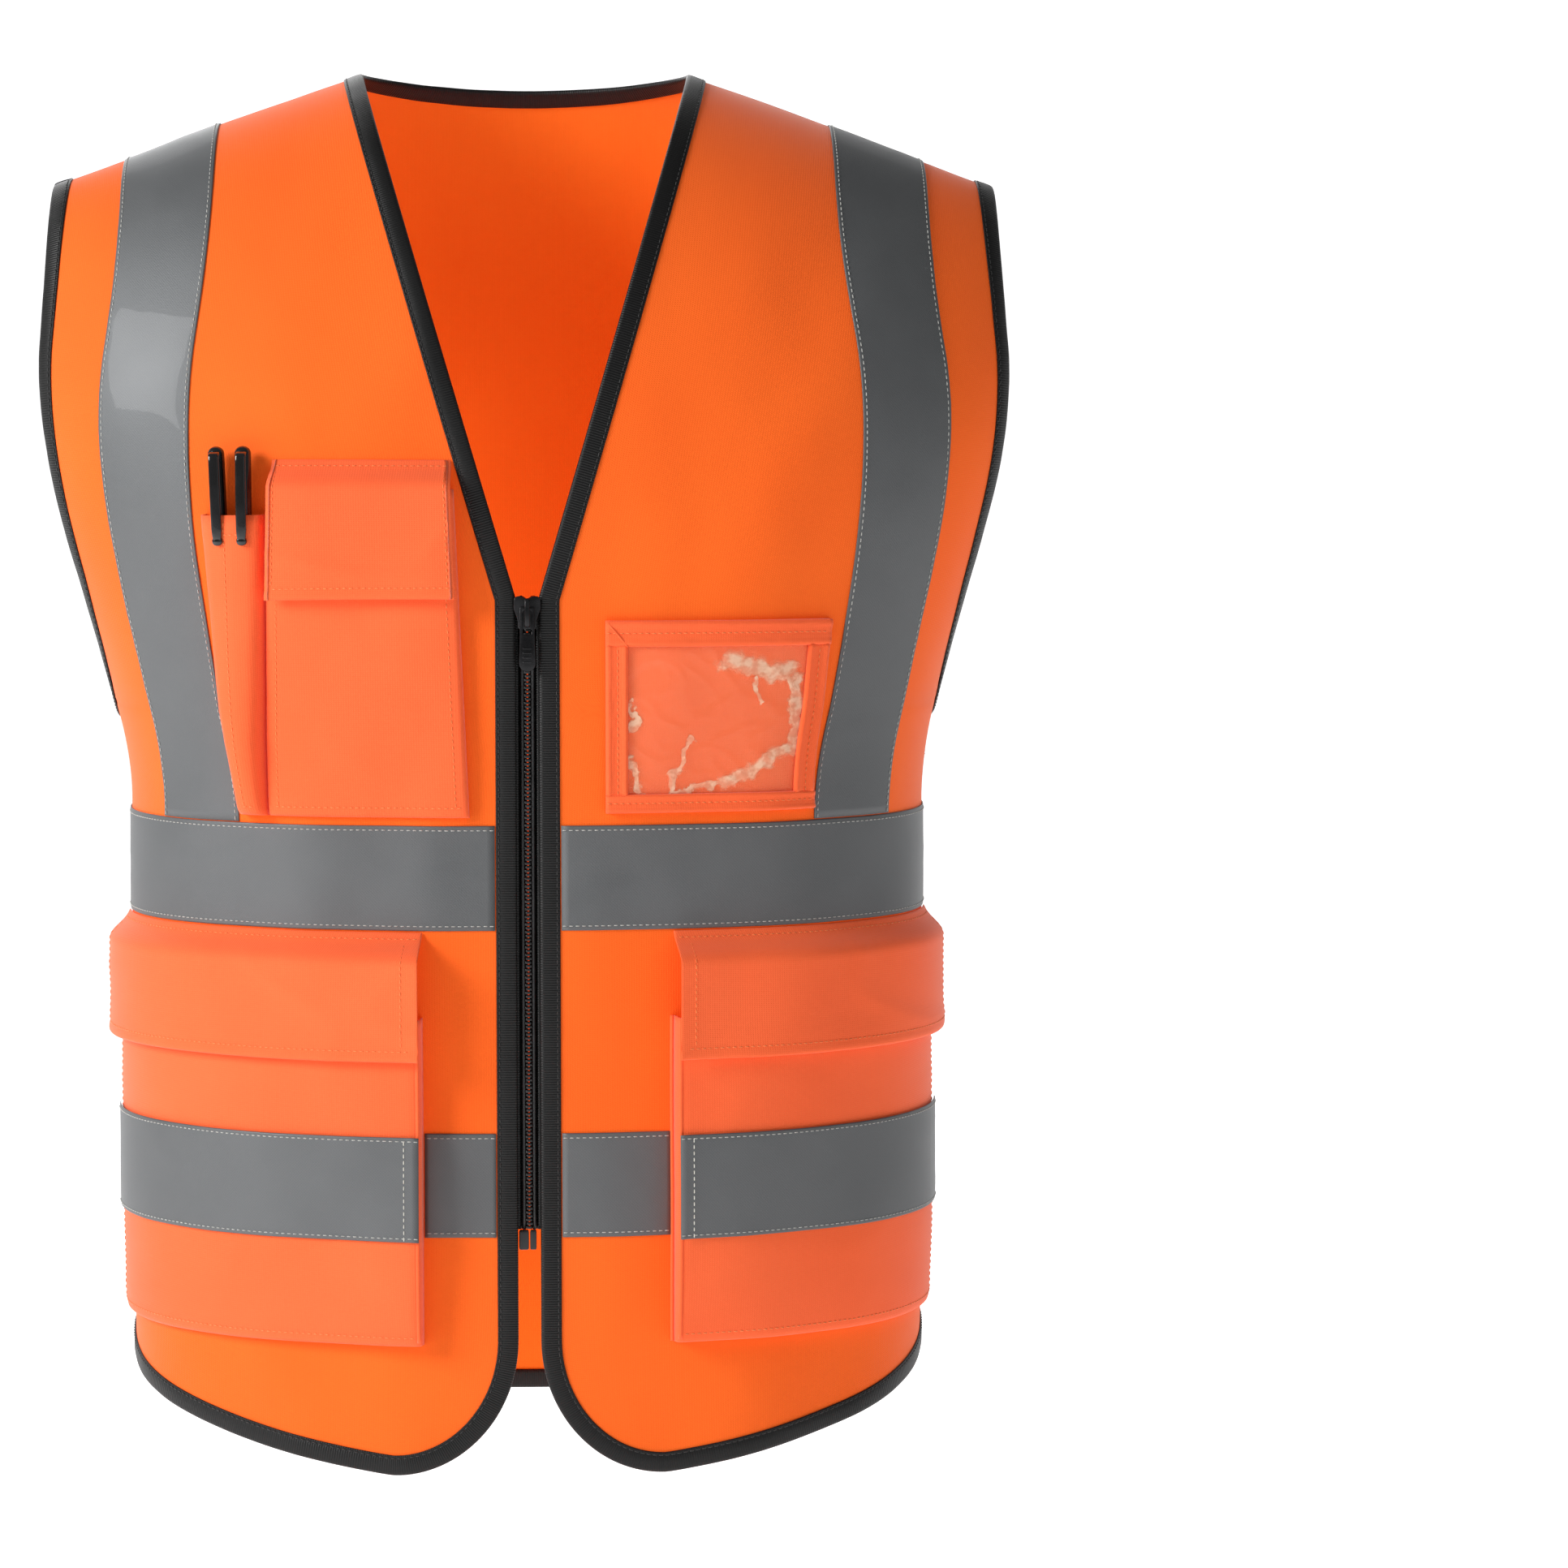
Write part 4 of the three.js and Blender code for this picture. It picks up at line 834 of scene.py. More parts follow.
tape_across = band_levels - tape_width / 2
shoulder_lines = {side_name: [] for side_name, _ in SIDES}
for side_name, side in SIDES:
    for part, face, raised in (("front", FRONT, 0), ("back", BACK, back_band_raise)):
        levels = levels_between(upper_band_top + raised + layer_gap, seam_level)
        x = np.empty((len(levels), len(tape_across)))
        for row, level in enumerate(levels):
            start = settle(tape_middle, np.array([level]), np.array([0.2]))[0]
            x[row] = along_level(face, level, start, tape_across)
        z = level_z(levels[:, None], x)
        tape = tape_piece(f"shoulder_tape_{part}_{side_name}", face, side * x, z)
        for _, column in line_rows:
            line = line_on(face, side * x[:, column], z[:, column], tape_top)
            (shoulder_lines[side_name] if face == FRONT else back_lines).append(line)
        if face == FRONT:
            bend_from_shoulder(tape)
        else:
            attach(tape, "vest")
        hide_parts(f"{part}_shoulder_tape_{side_name}")

# ---- Edge binding ----------------------------------------------------------------------------
# Black ribbed polyester tape, folded over the raw edges and sewn through both legs. It runs
# down the neck and the zip, round the hem, and round the neck's back and the armholes.
ribbed, ribbed_shader, at = material("ribbed_binding", Sheen_Weight=0.04, Sheen_Roughness=0.3)
ribbed_shader.inputs["Specular IOR Level"].default_value = 0.35
ribbed_flat = at.node("ShaderNodeUVMap", uv_map="cloth")
ribs = (ribbed_flat.part("Y") * 5200).sine()
fibres = ribbed_flat.noise(1400, 3)
ribbed_tone = ribs * 0.3 + fibres * 0.7
ribbed_base = ribbed_tone.steps(0, 1).blended(
    colour(0.0015, 0.0015, 0.0016), colour(0.008, 0.0078, 0.0075)
)
ribbed_base.feed(ribbed_shader, "Base Color")
(fibres * 0.25 + 0.34).feed(ribbed_shader, "Roughness")
(ribs * 0.6 + fibres).bump(0.5, 0.0002).feed(ribbed_shader, "Normal")

binding_step = 0.003
binding_line = 0.0085  # from the folded edge to the stitching
# its outline in millimetres, across from the folded edge and up from the cloth
binding_section = 0.001 * np.array(
    [
        (9.9, 1.15), (10.0, 1.55), (9.6, 1.9), (9.1, 1.9), (8.5, 1.72), (7.8, 1.98),
        (5.0, 2.14), (2.0, 2.12), (0.7, 1.85), (0.08, 1.2), (0.0, 0.5), (0.08, -0.2),
        (0.7, -0.8), (2.0, -1.04), (5.0, -1.1), (7.8, -1.0), (9.6, -0.9), (10.0, -0.55),
        (9.9, -0.15), (5.0, -0.12), (1.3, -0.12), (1.1, 0.5), (1.3, 1.15), (5.0, 1.15),
    ]
)


def bind_edge(name, face, x, z, inside, seed):
    """Binding folded round an edge, given by its places, and its line of stitching."""
    length = run_length(form(face, x, z)[0])
    count = max(int(length[-1] / binding_step), 8)
    places = np.linspace(0, length[-1], count + 1)
    x, z = np.interp(places, length, x), np.interp(places, length, z)
    base, normal = form(face, x, z)
    inward = unit(np.cross(normal, unit(np.gradient(base, axis=0))))
    target = form(face, *inside)[0]
    if np.dot(inward[count // 2], target - base[count // 2]) < 0:
        inward = -inward
    far = settled(face, base + inward * binding_width)
    far_y = far[:, 1] - face * seam_gap / 2
    far_normal = unit(body_slope(face, far[:, 0], far_y, far[:, 2]))

    def at_section(across, up):
        share = across / binding_width
        point = base + (far - base) * share
        lift = unit(normal + (far_normal - normal) * share)
        hang = drape(face, point[:, 0], point[:, 2])
        return point + lift * (up + hang)[:, None], lift

    wave = 0.00012 * lattice_noise(places / 0.011, places * 0 + 0.5, seed)
    loops = np.stack([at_section(a, b + wave)[0] for a, b in binding_section], 1)
    around = np.roll(binding_section, -1, 0) - binding_section
    across = np.concatenate([[0], np.cumsum(np.linalg.norm(around, axis=1))[:-1]])
    flat = np.stack(np.broadcast_arrays(across[None, :], places[:, None]), -1).reshape(-1, 2)
    piece = tube(name, loops, ribbed, flat)
    return piece, at_section(binding_line, 0.0019 + wave)


def corner_edge(turns):
    x = corner_centre - corner_width * np.cos(turns)
    return x, hem_z + corner_height * (1 - np.sin(turns))


roll_levels = levels_between(v_bottom, seam_level, 0.004, 1.5)[::-1]
neck_side_x = settle(front_edge, roll_levels, np.full(roll_levels.shape, 0.05))
zip_heights = np.linspace(v_bottom, hem_z + corner_height, 90)[1:-1]
turn_x, turn_z = corner_edge(np.radians(np.linspace(0, 90, 30)))
hem_share = np.linspace(0, 1, 90)[1:]
hem_x = x_round(start_round + hem_share * (quarter_length[-1] - start_round), hem_z)
front_x = np.concatenate([neck_side_x, 0 * zip_heights + zip_gap / 2, turn_x, hem_x])
front_z = np.concatenate(
    [level_z(roll_levels, neck_side_x), zip_heights, turn_z, front_hem(hem_share)]
)
arm_levels = levels_between(armpit_z, seam_level, 0.003, 1.5)
arm_x = settle(outer_edge, arm_levels, np.full(arm_levels.shape, 0.2))
arm_z = level_z(arm_levels, arm_x)
back_black_lines = []
for side_name, side in SIDES:
    chest_point = (side * 0.12, v_bottom)
    piece, line = bind_edge(
        f"binding_front_{side_name}", FRONT, side * front_x, front_z, chest_point, 3
    )
    bend_from_shoulder(piece)
    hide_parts(f"front_binding_{side_name}")
    black_lines = [line]
    for part, face in (("front", FRONT), ("back", BACK)):
        piece, line = bind_edge(
            f"armhole_edge_{part}_{side_name}", face, side * arm_x, arm_z, chest_point, 7
        )
        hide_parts(f"armhole_binding_{part}_{side_name}")
        if face == FRONT:
            black_lines.append(line)
            bend_from_shoulder(piece)
        else:
            back_black_lines.append(line)
            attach(piece, "vest")
    seam = stitching(f"binding_stitches_{side_name}", black_lines, black_thread)
    bend_from_shoulder(seam)
    shoulder_seam = stitching(
        f"shoulder_tape_stitches_{side_name}", shoulder_lines[side_name], grey_thread
    )
    bend_from_shoulder(shoulder_seam)

neck_x = neck_half_width * np.sin(np.linspace(-math.pi / 2, math.pi / 2, 90))
neck_height = back_level_z(np.full(neck_x.shape, seam_level), neck_x)
piece, line = bind_edge("neck_edge_back", BACK, neck_x, neck_height, (0.0, armpit_z), 13)
back_black_lines.append(line)
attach(piece, "vest")
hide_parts("neck_binding")
back_share = np.linspace(-1, 1, 240)
hem_back_x = x_round(quarter_length[-1] * back_share, hem_z)
piece, line = bind_edge(
    "hem_edge_back", BACK, hem_back_x, back_hem(back_share), (0.0, armpit_z), 17
)
back_black_lines.append(line)
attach(piece, "vest")
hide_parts("hem_binding_back")
seam = stitching("binding_stitches_back", back_black_lines, black_thread)
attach(seam, "vest")
seam = stitching("tape_stitches_back", back_lines, grey_thread)
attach(seam, "vest")

# ---- Pouches ---------------------------------------------------------------------------------
# Patch pockets of the same knit: a front with sewn-on walls that stand it off the panel, and a
# turned hem at the mouth. The chest pocket is flat and full width, the pen pocket bulges.
trim_base = 0.0015
pouch_thickness = 0.0009
hem_fold = 0.011
wall_rise = np.array([0, 0.4, 0.75, 0.92, 0.985])  # shares of the pocket's depth up its wall
wall_inset = np.array([0, 0.0001, 0.0004, 0.0012, 0.0028])


def outward(grid, hint):
    """Unit normals of a grid of points, on the side that a hint points to."""
    normal = unit(np.cross(np.gradient(grid, axis=1), np.gradient(grid, axis=0)))
    return normal * np.sign(np.mean((normal * hint).sum(-1)))


def pouch(name, side, edge_a, edge_b, low, high, depth, columns=46, crumple=4e-4):
    """A pocket open at its top, and the lines along its mouth, bottom and sides."""
    heights = np.concatenate([low + wall_inset, np.arange(low + 0.005, high - 0.001, 0.004)])
    heights = np.append(heights, high)[:, None]
    ra = round_to(edge_column(edge_a, heights), heights)
    rb = round_to(edge_column(edge_b, heights), heights)
    width = np.abs(rb - ra)[0, 0]
    inset = wall_inset / width
    share = np.concatenate([inset, np.linspace(0.006 / width, 1 - 0.006 / width, columns)])
    share = np.concatenate([share, 1 - inset[::-1]])[None, :]
    rise_across = np.concatenate([wall_rise, np.ones(columns), wall_rise[::-1]])[None, :]
    rise_up = np.concatenate([wall_rise, np.ones(len(heights) - len(wall_rise))])[:, None]
    x = side * x_round(ra + (rb - ra) * share, heights)
    z = heights + 0 * x
    up = (z - low) / (high - low)
    full = rise_across * rise_up
    soft = lattice_noise(x / 0.045, z / 0.06, 41) + 0.6 * creases(
        (x + 0.5 * z) / 0.07, (z - 0.4 * x) / 0.05, 43
    )
    hem = 0.0005 * smooth(z, high - hem_fold - 0.001, high - hem_fold)
    offset = trim_base + depth(share, up) * full + full * (crumple * soft + hem)
    outer = on_body(FRONT, x, z, offset)
    normal = outward(outer, form(FRONT, x, z)[1])
    made = cloth_piece(name, outer, outer - normal * pouch_thickness, pocket_knit, inner_knit_painted_light)
    row_mouth = np.abs(heights[:, 0] - (high - hem_fold + 0.0015)).argmin()
    inner = slice(4, -4)
    row_low = np.abs(heights[:, 0] - low - 0.005).argmin()
    lines = {
        "mouth": (outer[row_mouth, inner], normal[row_mouth, inner]),
        "bottom": (outer[row_low, inner], normal[row_low, inner]),
        "inner": (outer[5:, 5], normal[5:, 5]),
        "outer": (outer[5:, -6], normal[5:, -6]),
        "rim_inner": (outer[4:, 3], normal[4:, 3]),
        "foot_inner": (outer[1:, 0], normal[1:, 0]),
    }
    return made, lines


def lerp(a, b, t):
    """A share of the way from one value to another."""
    return a + (b - a) * t


def fullness(least, up):
    """Share of a pocket's depth at a height: least at its foot, and full from a quarter up."""
    return least + (1 - least) * np.sqrt(np.clip(4 * up, 0, 1))


def cord_round(name, line, radius, skin, sides=8):
    """A round cord along a line of points, closed at both ends."""
    line = np.asarray(line)
    run = unit(np.gradient(line, axis=0))
    hint = np.array([0.31, -0.9, 0.21])
    side = unit(np.cross(run, hint))
    over = np.cross(side, run)
    angles = 2 * math.pi * np.arange(sides) / sides
    loops = np.stack(
        [line + radius * (math.cos(a) * side + math.sin(a) * over) for a in angles], 1
    )
    flat = np.stack(np.broadcast_arrays(angles[None, :] * radius, run_length(line)[:, None]), -1)
    return tube(name, loops, skin, flat.reshape(-1, 2))


chest_bottom = upper_band_top + 0.004
chest_height = 0.158
chest_mouth = chest_bottom + chest_height
pen_mouth = chest_bottom + 0.146
pen_pocket_width = 0.030
pen_depth_mouth = 0.0115
pen_depth_bottom = 0.019
chest_depth = 0.008


def chest_climb(z):
    return min(max((z - chest_bottom) / chest_height, 0), 1)


def pen_outer(z):
    return tape_inner(z) - lerp(0.003, 0.008, chest_climb(z))


groove = pen_outer(pen_mouth) - pen_pocket_width


def clear_of_neck(z, x):
    return max(x, float(front_edge(z)) + binding_width + 3 * layer_gap)


def chest_inner(z):
    return clear_of_neck(z, lerp(0.028, 0.035, chest_climb(z)))


chest_pocket, chest_lines = pouch(
    "chest_pouch",
    -1,
    chest_inner,
    lambda z: groove - 2 * layer_gap,
    chest_bottom,
    chest_mouth,
    lambda share, up: (chest_depth - 0.0012) * fullness(0.5, up),
)
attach(chest_pocket, "front_right")
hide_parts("chest_pocket")

pen_pouch, pen_lines = pouch(
    "pen_pouch",
    -1,
    lambda z: groove,
    pen_outer,
    chest_bottom,
    pen_mouth,
    lambda share, up: (lerp(pen_depth_bottom, pen_depth_mouth, up) - 0.0002)
    * fullness(0.35, up)
    * (0.75 + 0.25 * np.sin(math.pi * np.clip(share, 0, 1)) ** 0.4),
    columns=26,
    crumple=2.5e-4,
)
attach(pen_pouch, "front_right")
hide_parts("pen_pocket")
right_orange_lines = [chest_lines[key] for key in ("mouth", "bottom", "inner", "outer")]
right_orange_lines += [pen_lines[key] for key in ("mouth", "bottom", "outer")]

# ---- Lower pockets ---------------------------------------------------------------------------
# Two large bellows pockets. A gusset down the side nearer the zip opens them like a box, with a
# piped edge where it meets the front, and the lower band carries on across them.
pocket_bottom = 0.065 - origin_height
pocket_height = 0.160
pocket_mouth = pocket_bottom + pocket_height
pocket_depth_inner = 0.016
pocket_depth_rear = 0.006
piping_radius = 0.0010
pocket_rear = float(
    along_level(FRONT, pocket_bottom, float(half_width_at(pocket_bottom)) - 1e-5, -0.015)
)
orange_lines = {"right": right_orange_lines, "left": []}
white_lines = {"right": [], "left": []}


def pocket_front(share):
    return lerp(pocket_depth_inner, pocket_depth_rear, np.sqrt(np.clip(share, 0, 1)))


for side_name, side in SIDES:
    inner_x = pocket_inset[side_name]
    pocket, lines = pouch(
        f"bellows_pocket_{side_name}",
        side,
        lambda z: inner_x,
        lambda z: pocket_rear,
        pocket_bottom,
        pocket_mouth,
        lambda share, up: (pocket_front(share) - 0.001) * fullness(0.7, up),
        columns=56,
    )
    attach(pocket, f"front_{side_name}")
    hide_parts(f"lower_pocket_{side_name}")
    orange_lines[side_name] += [lines[key] for key in ("mouth", "bottom", "outer")]
    rims = [("rim", lines["rim_inner"][0])]
    if side_name == "left":
        rims.append(("foot", lines["foot_inner"][0] + lines["foot_inner"][1] * 0.0006))
    for rim_name, line in rims:
        piping = cord_round(f"piping_{rim_name}_{side_name}", line, piping_radius, pocket_knit)
        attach(piping, f"front_{side_name}")
    share = np.linspace(0.002, 0.998, 60)[None, :]
    z = (lower_band_bottom + band_levels)[:, None] + 0 * share
    x = side * x_between(inner_x, pocket_rear, share, z)
    lift = pocket_front(share) + trim_base - tape_base + 0.0002
    band = tape_piece(f"pocket_tape_{side_name}", FRONT, x, z, lift)
    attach(band, f"front_{side_name}")
    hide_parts(f"pocket_band_{side_name}")
    for _, row in line_rows:
        front_lines[side_name].append(line_on(FRONT, x[row], z[row], tape_top + lift[0]))
    column = 2
    line = line_on(FRONT, x[:, column], z[:, column], tape_top + lift[0, column])
    white_lines[side_name].append(line)

# ---- Flaps -----------------------------------------------------------------------------------
# Each flap is two layers turned and edge-stitched, sewn to the panel along its top edge. It
# hangs over its pocket's mouth and is held by a hook and loop closure.
flap_turn = 0.014
flap_thickness = 0.0012
flap_stitch_inset = 0.0055
edge_rounding = 0.0011
closure_thickness = 0.001
closure_room = 2 * closure_thickness + 3 * layer_gap
flap_top = upper_band_bottom - 0.0008
flap_height = 0.061
chest_flap_top = chest_mouth + 0.014
chest_flap_height = 0.066
closure_height = 0.014
closure_above_edge = 0.003


def flap(name, side, edge_a, edge_b, top, height, over, seed):
    """A flap and the lines of its stitching."""
    drops = np.concatenate([[0, 0.0006, 0.0016], np.linspace(0.003, height - 0.003, 26)])
    drops = np.concatenate([drops, [height - 0.0014, height - 0.0005, height]])[:, None]
    z = top - drops
    ra, rb = round_to(edge_column(edge_a, z), z), round_to(edge_column(edge_b, z), z)
    edge_share = np.array([0, 0.0005, 0.0016]) / np.abs(rb - ra)[0, 0]
    share = np.concatenate([edge_share, np.linspace(0.02, 0.98, 56), 1 - edge_share[::-1]])
    share = share[None, :]
    x = side * x_round(ra + (rb - ra) * share, z)
    z = z + 0 * x
    hang = smooth(drops, 0, flap_turn)
    soft = lattice_noise(x / 0.06, z / 0.05, seed) * 0.0005
    soft = soft + 0.0007 * creases((x + 0.8 * z) / 0.09, (z - 0.3 * x) / 0.06, seed + 1)
    low = lerp(trim_base, over(share) + closure_room, hang) + soft * hang
    low = low + 0.0006 * hang * smooth(drops, height - 0.02, height)
    rows = np.minimum(drops, height - drops) / edge_rounding
    side_step = np.minimum(share, 1 - share) * np.abs(rb - ra)[0, 0] / edge_rounding
    plump = np.sqrt(np.clip(np.minimum(rows, side_step), 0, 1))
    groove_depth = np.exp(-(((height - drops - flap_stitch_inset) / 0.0009) ** 2))
    thick = flap_thickness * (0.35 + 0.65 * plump) + 0.0003 * smooth(
        drops, height - flap_stitch_inset, height - flap_stitch_inset + 0.001
    )
    outer = on_body(FRONT, x, z, low + thick - 0.00025 * groove_depth)
    under = on_body(FRONT, x, z, low + flap_thickness * 0.3 * (1 - plump))
    made = cloth_piece(name, outer, under, pocket_knit, inner_knit_painted_light)
    normal = form(FRONT, x, z)[1]
    row = np.abs(drops[:, 0] - (height - flap_stitch_inset)).argmin()
    near_top = np.abs(drops[:, 0] - 0.003).argmin()
    lines = [
        (outer[row, 3:-3], normal[row, 3:-3]),
        (outer[near_top, 2:-2], normal[near_top, 2:-2]),
        (outer[4:-4, 4], normal[4:-4, 4]),
        (outer[4:-4, -5], normal[4:-4, -5]),
    ]
    return made, lines


def sew_flap(piece, seam_top, x):
    """Bakes the piece's placing into its points; the flap is not turned about its sewn edge."""
    x, y, z = form(FRONT, x, seam_top - 0.001)[0]
    seam_top - flap_turn
    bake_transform(piece)


hook_loop, hook_loop_shader, at = material("hook_and_loop", Sheen_Weight=0.5)
hook_place = at.node("ShaderNodeTexCoord", out="Object")
hooks = at.node("ShaderNodeTexVoronoi", {"Vector": hook_place, "Scale": 900.0})
fuzz = hook_place.noise(420, 4)
hook_base = (fuzz * 0.7 + hooks * 0.4).blended(colour(0.75, 0.1, 0.005), colour(1.0, 0.25, 0.06))
hook_base.feed(hook_loop_shader, "Base Color")
(fuzz * 0.2 + 0.7).feed(hook_loop_shader, "Roughness")
(hooks + fuzz).bump(0.9, 0.0005).feed(hook_loop_shader, "Normal")


def closure(name, side, edge_a, edge_b, share_range, z_low, over, bodies, length):
    """The loop half on the pocket and the hook half under the flap."""
    heights = z_low + np.linspace(0, closure_height, 12)[:, None]
    share = np.linspace(*share_range, 34)[None, :]
    x = side * x_between(edge_a(z_low), edge_b(z_low), share, heights)
    z = heights + 0 * x
    pile = 0.00015 * lattice_noise(x / 0.0022, z / 0.0022, 51)
    for half, lift, body in (
        ("loop", 0.0008, bodies[0]),
        ("hook", 0.0020, bodies[1]),
    ):
        top = on_body(FRONT, x, z, over(share) + lift + 0.0009 + pile)
        under = on_body(FRONT, x, z, over(share) + lift)
        patch = cloth_piece(f"{name}_{half}", top, under, hook_loop)
        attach(patch, body)
        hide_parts(f"{name}_{half}_patch")


def over_chest(share):
    return trim_base + chest_depth + 0 * share


def chest_flap_inner(z):
    return clear_of_neck(z, chest_inner(min(z, chest_mouth)) + 2 * layer_gap)


def chest_flap_outer(z):
    return groove - 6 * layer_gap


def over_lower(share):
    return trim_base + pocket_front(share)


def sewn_flap(
    kind, ending, side_name, side, edges, top, height, over, seed, hinge_x, shares, length
):
    """A pocket's flap with its stitching and its closure; the closure's hook half is attached to
    the flap's body.
    """
    body = f"{kind}_flap{ending}"
    flap_piece, flap_lines = flap(f"flap_{kind}{ending}", side, *edges, top, height, over, seed)
    sew_flap(flap_piece, top, hinge_x)
    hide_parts(f"{kind}_pocket_flap{ending}")
    seam = stitching(f"flap_{kind}_stitches{ending}", flap_lines, orange_thread)
    sew_flap(seam, top, hinge_x)
    closure_z = top - height + closure_above_edge
    bodies = (f"front_{side_name}", body)
    closure(f"{kind}_pocket{ending}", side, *edges, shares, closure_z, over, bodies, length)


sewn_flap(
    "chest", "", "right", -1, (chest_flap_inner, chest_flap_outer), chest_flap_top,
    chest_flap_height, over_chest, 61, -0.08, (2 / 7, 5 / 7), 0.04,
)
for side_name, side in SIDES:
    width = {"right": 0.235, "left": 0.215}[side_name]
    edges = (lambda z: pocket_inset[side_name], lambda z: pocket_rear)
    sewn_flap(
        "lower", f"_{side_name}", side_name, side, edges, flap_top, flap_height, over_lower,
        71 + 4 * side, side * 0.13, (2 / 9, 4 / 9), 0.225 * width,
    )

# ---- Stitching on the fronts -----------------------------------------------------------------
# The rows that hold the tapes and pockets to each front. The row beside each lower pocket's
# piping runs on over the reflective tape in white thread.
white_thread = thread("white_thread", colour(0.9, 0.88, 0.8), colour(0.6, 0.58, 0.5))
for side_name, side in SIDES:
    for kind, lines, skin, slot_name in (
        ("tape", front_lines[side_name], grey_thread, "reflective_tape"),
        ("pocket", orange_lines[side_name], orange_thread, "pocket_cloth"),
        ("piping", white_lines[side_name], white_thread, "reflective_tape"),
    ):
        seam = stitching(f"{kind}_stitches_{side_name}", lines, skin)
        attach(seam, f"front_{side_name}")

# ---- Badge pocket ----------------------------------------------------------------------------
# A clear vinyl window for a badge, over a cloth backing. Four folded strips of the orange knit
# frame it. The vinyl is creased from folding, and its creases carry pale marks, partly milky
# whitening and partly painted highlight.
badge_bottom = upper_band_top + 0.006
badge_height = 0.093
badge_top = badge_bottom + badge_height
badge_inset = 0.0375
frame_widths = {"top": 0.0125, "bottom": 0.009, "inner": 0.0105, "outer": 0.0105}
window_inset = 0.002
window_base = 0.0026
frame_base = 0.0036


def badge_outer(z):
    return tape_inner(z) - lerp(0.0015, 0.008, (z - badge_bottom) / badge_height)


def badge_sheet(name, low, high, edge_a, edge_b, rows, columns, under, top, skin):
    """A sheet of the badge pocket: under and top give offsets from the shares up and across."""
    z = np.linspace(low, high, rows)[:, None]
    across = np.linspace(0, 1, columns)[None, :]
    up = np.linspace(0, 1, rows)[:, None]
    x = x_between(edge_column(edge_a, z), edge_column(edge_b, z), across, z)
    z = z + 0 * x
    outer = on_body(FRONT, x, z, top(up, across) + 0 * x)
    inner = on_body(FRONT, x, z, under(up, across) + 0 * x)
    made = cloth_piece(name, outer, inner, skin)
    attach(made, "front_left")
    return made, (x, z)


def badge_inner(z):
    """The badge pocket's edge nearer the zip is straight."""
    return badge_inset


backing, _ = badge_sheet(
    "badge_backing", badge_bottom, badge_top, badge_inner, badge_outer, 26, 30,
    lambda up, across: 0.0014, lambda up, across: 0.0021, pocket_knit,
)
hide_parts("badge_pocket_backing")

vinyl, vinyl_shader, at = material("clear_vinyl", Roughness=0.1, IOR=1.45)
vinyl_flat = at.node("ShaderNodeUVMap", uv_map="cloth")
warp = at.node("ShaderNodeTexNoise", {"Vector": vinyl_flat, "Scale": 95.0, "Detail": 3.0}, 1)
warped = at.node(
    "ShaderNodeVectorMath",
    {0: at.node("ShaderNodeVectorMath", {0: warp, 3: 0.016}, operation="SCALE"), 1: vinyl_flat},
    operation="ADD",
)
warp_x, warp_y = warped.part("X") - 0.008, warped.part("Y") - 0.008
# pale marks along the creases: partly milky whitening, partly painted highlight
milky_and_highlight = None
# each crease runs from x, y to x, y in millimetres from the middle of the window's lower edge
for xa, ya, xb, yb, wide in (
    (4, 70, 34, 66, 6.0),
    (34, 66, 38, 52, 2.6),
    (40, 62, 42, 28, 3.6),
    (42, 30, 6, 12, 5.2),
    (8, 12, -20, 7, 2.2),
    (-22, 8, -12, 34, 1.9),
    (-43, 24, -36, 8, 2.6),
    (-44, 50, -40, 40, 1.6),
    (16, 62, 22, 52, 2.0),
):
    ax, ay = xa / 1000, ya / 1000
    dx, dy = xb / 1000 - ax, yb / 1000 - ay
    run = ((warp_x - ax) * dx + (warp_y - ay) * dy) / (dx * dx + dy * dy)
    run = at.node("ShaderNodeClamp", {"Value": run})
    off_x, off_y = warp_x - ax - run * dx, warp_y - ay - run * dy
    gap = (off_x * off_x + off_y * off_y) ** 0.5
    crease = 1 - gap.steps(wide * 0.45 / 1000, wide / 1000)
    milky_and_highlight = crease if milky_and_highlight is None else milky_and_highlight + crease - milky_and_highlight * crease
streaks = vinyl_flat.noise(160, 4).steps(0.4, 0.62)
haze_and_highlight = milky_and_highlight * (streaks * 0.55 + 0.45)
# the pale marks set colour, alpha and roughness: partly milky whitening, partly painted highlight
vinyl_base = haze_and_highlight.blended(colour(1.0, 0.42, 0.2), colour(1.0, 0.66, 0.45))
vinyl_base.feed(vinyl_shader, "Base Color")
(haze_and_highlight * 0.62 + 0.14).feed(vinyl_shader, "Alpha")
(haze_and_highlight * 0.2 + 0.06).feed(vinyl_shader, "Roughness")


def window_top(up, across):
    u, v = across * 0.105, up * 0.089
    wrinkle = 0.0004 * creases(u / 0.03 + 0.3, v / 0.024, 81)
    wrinkle = wrinkle + 0.0003 * creases((u + v) / 0.021, (v - u) / 0.03, 83)
    edge = np.minimum(np.minimum(up, 1 - up), np.minimum(across, 1 - across))
    return window_base + 0.0003 + wrinkle * smooth(edge, 0.02, 0.15)


window, _ = badge_sheet(
    "badge_vinyl", badge_bottom + window_inset, badge_top - window_inset,
    lambda z: badge_inset + window_inset, lambda z: badge_outer(z) - window_inset, 90, 100,
    lambda up, across: window_top(up, across) - 0.0003, window_top, vinyl,
)
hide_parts("badge_window")


def fold(share, place, width=0.11):
    return np.exp(-(((share - place) / width) ** 2))


def rolled(share):
    """Thickness across a strip: a roll along each edge, with a stitched valley between."""
    end = np.sqrt(np.clip(np.minimum(share, 1 - share) / 0.09, 0, 1))
    rolls = 0.0006 * fold(share, 0.14) + 0.0005 * fold(share, 0.86) - 0.0003 * fold(share, 0.5)
    return (0.0003 + 0.0006 * end) + rolls * end


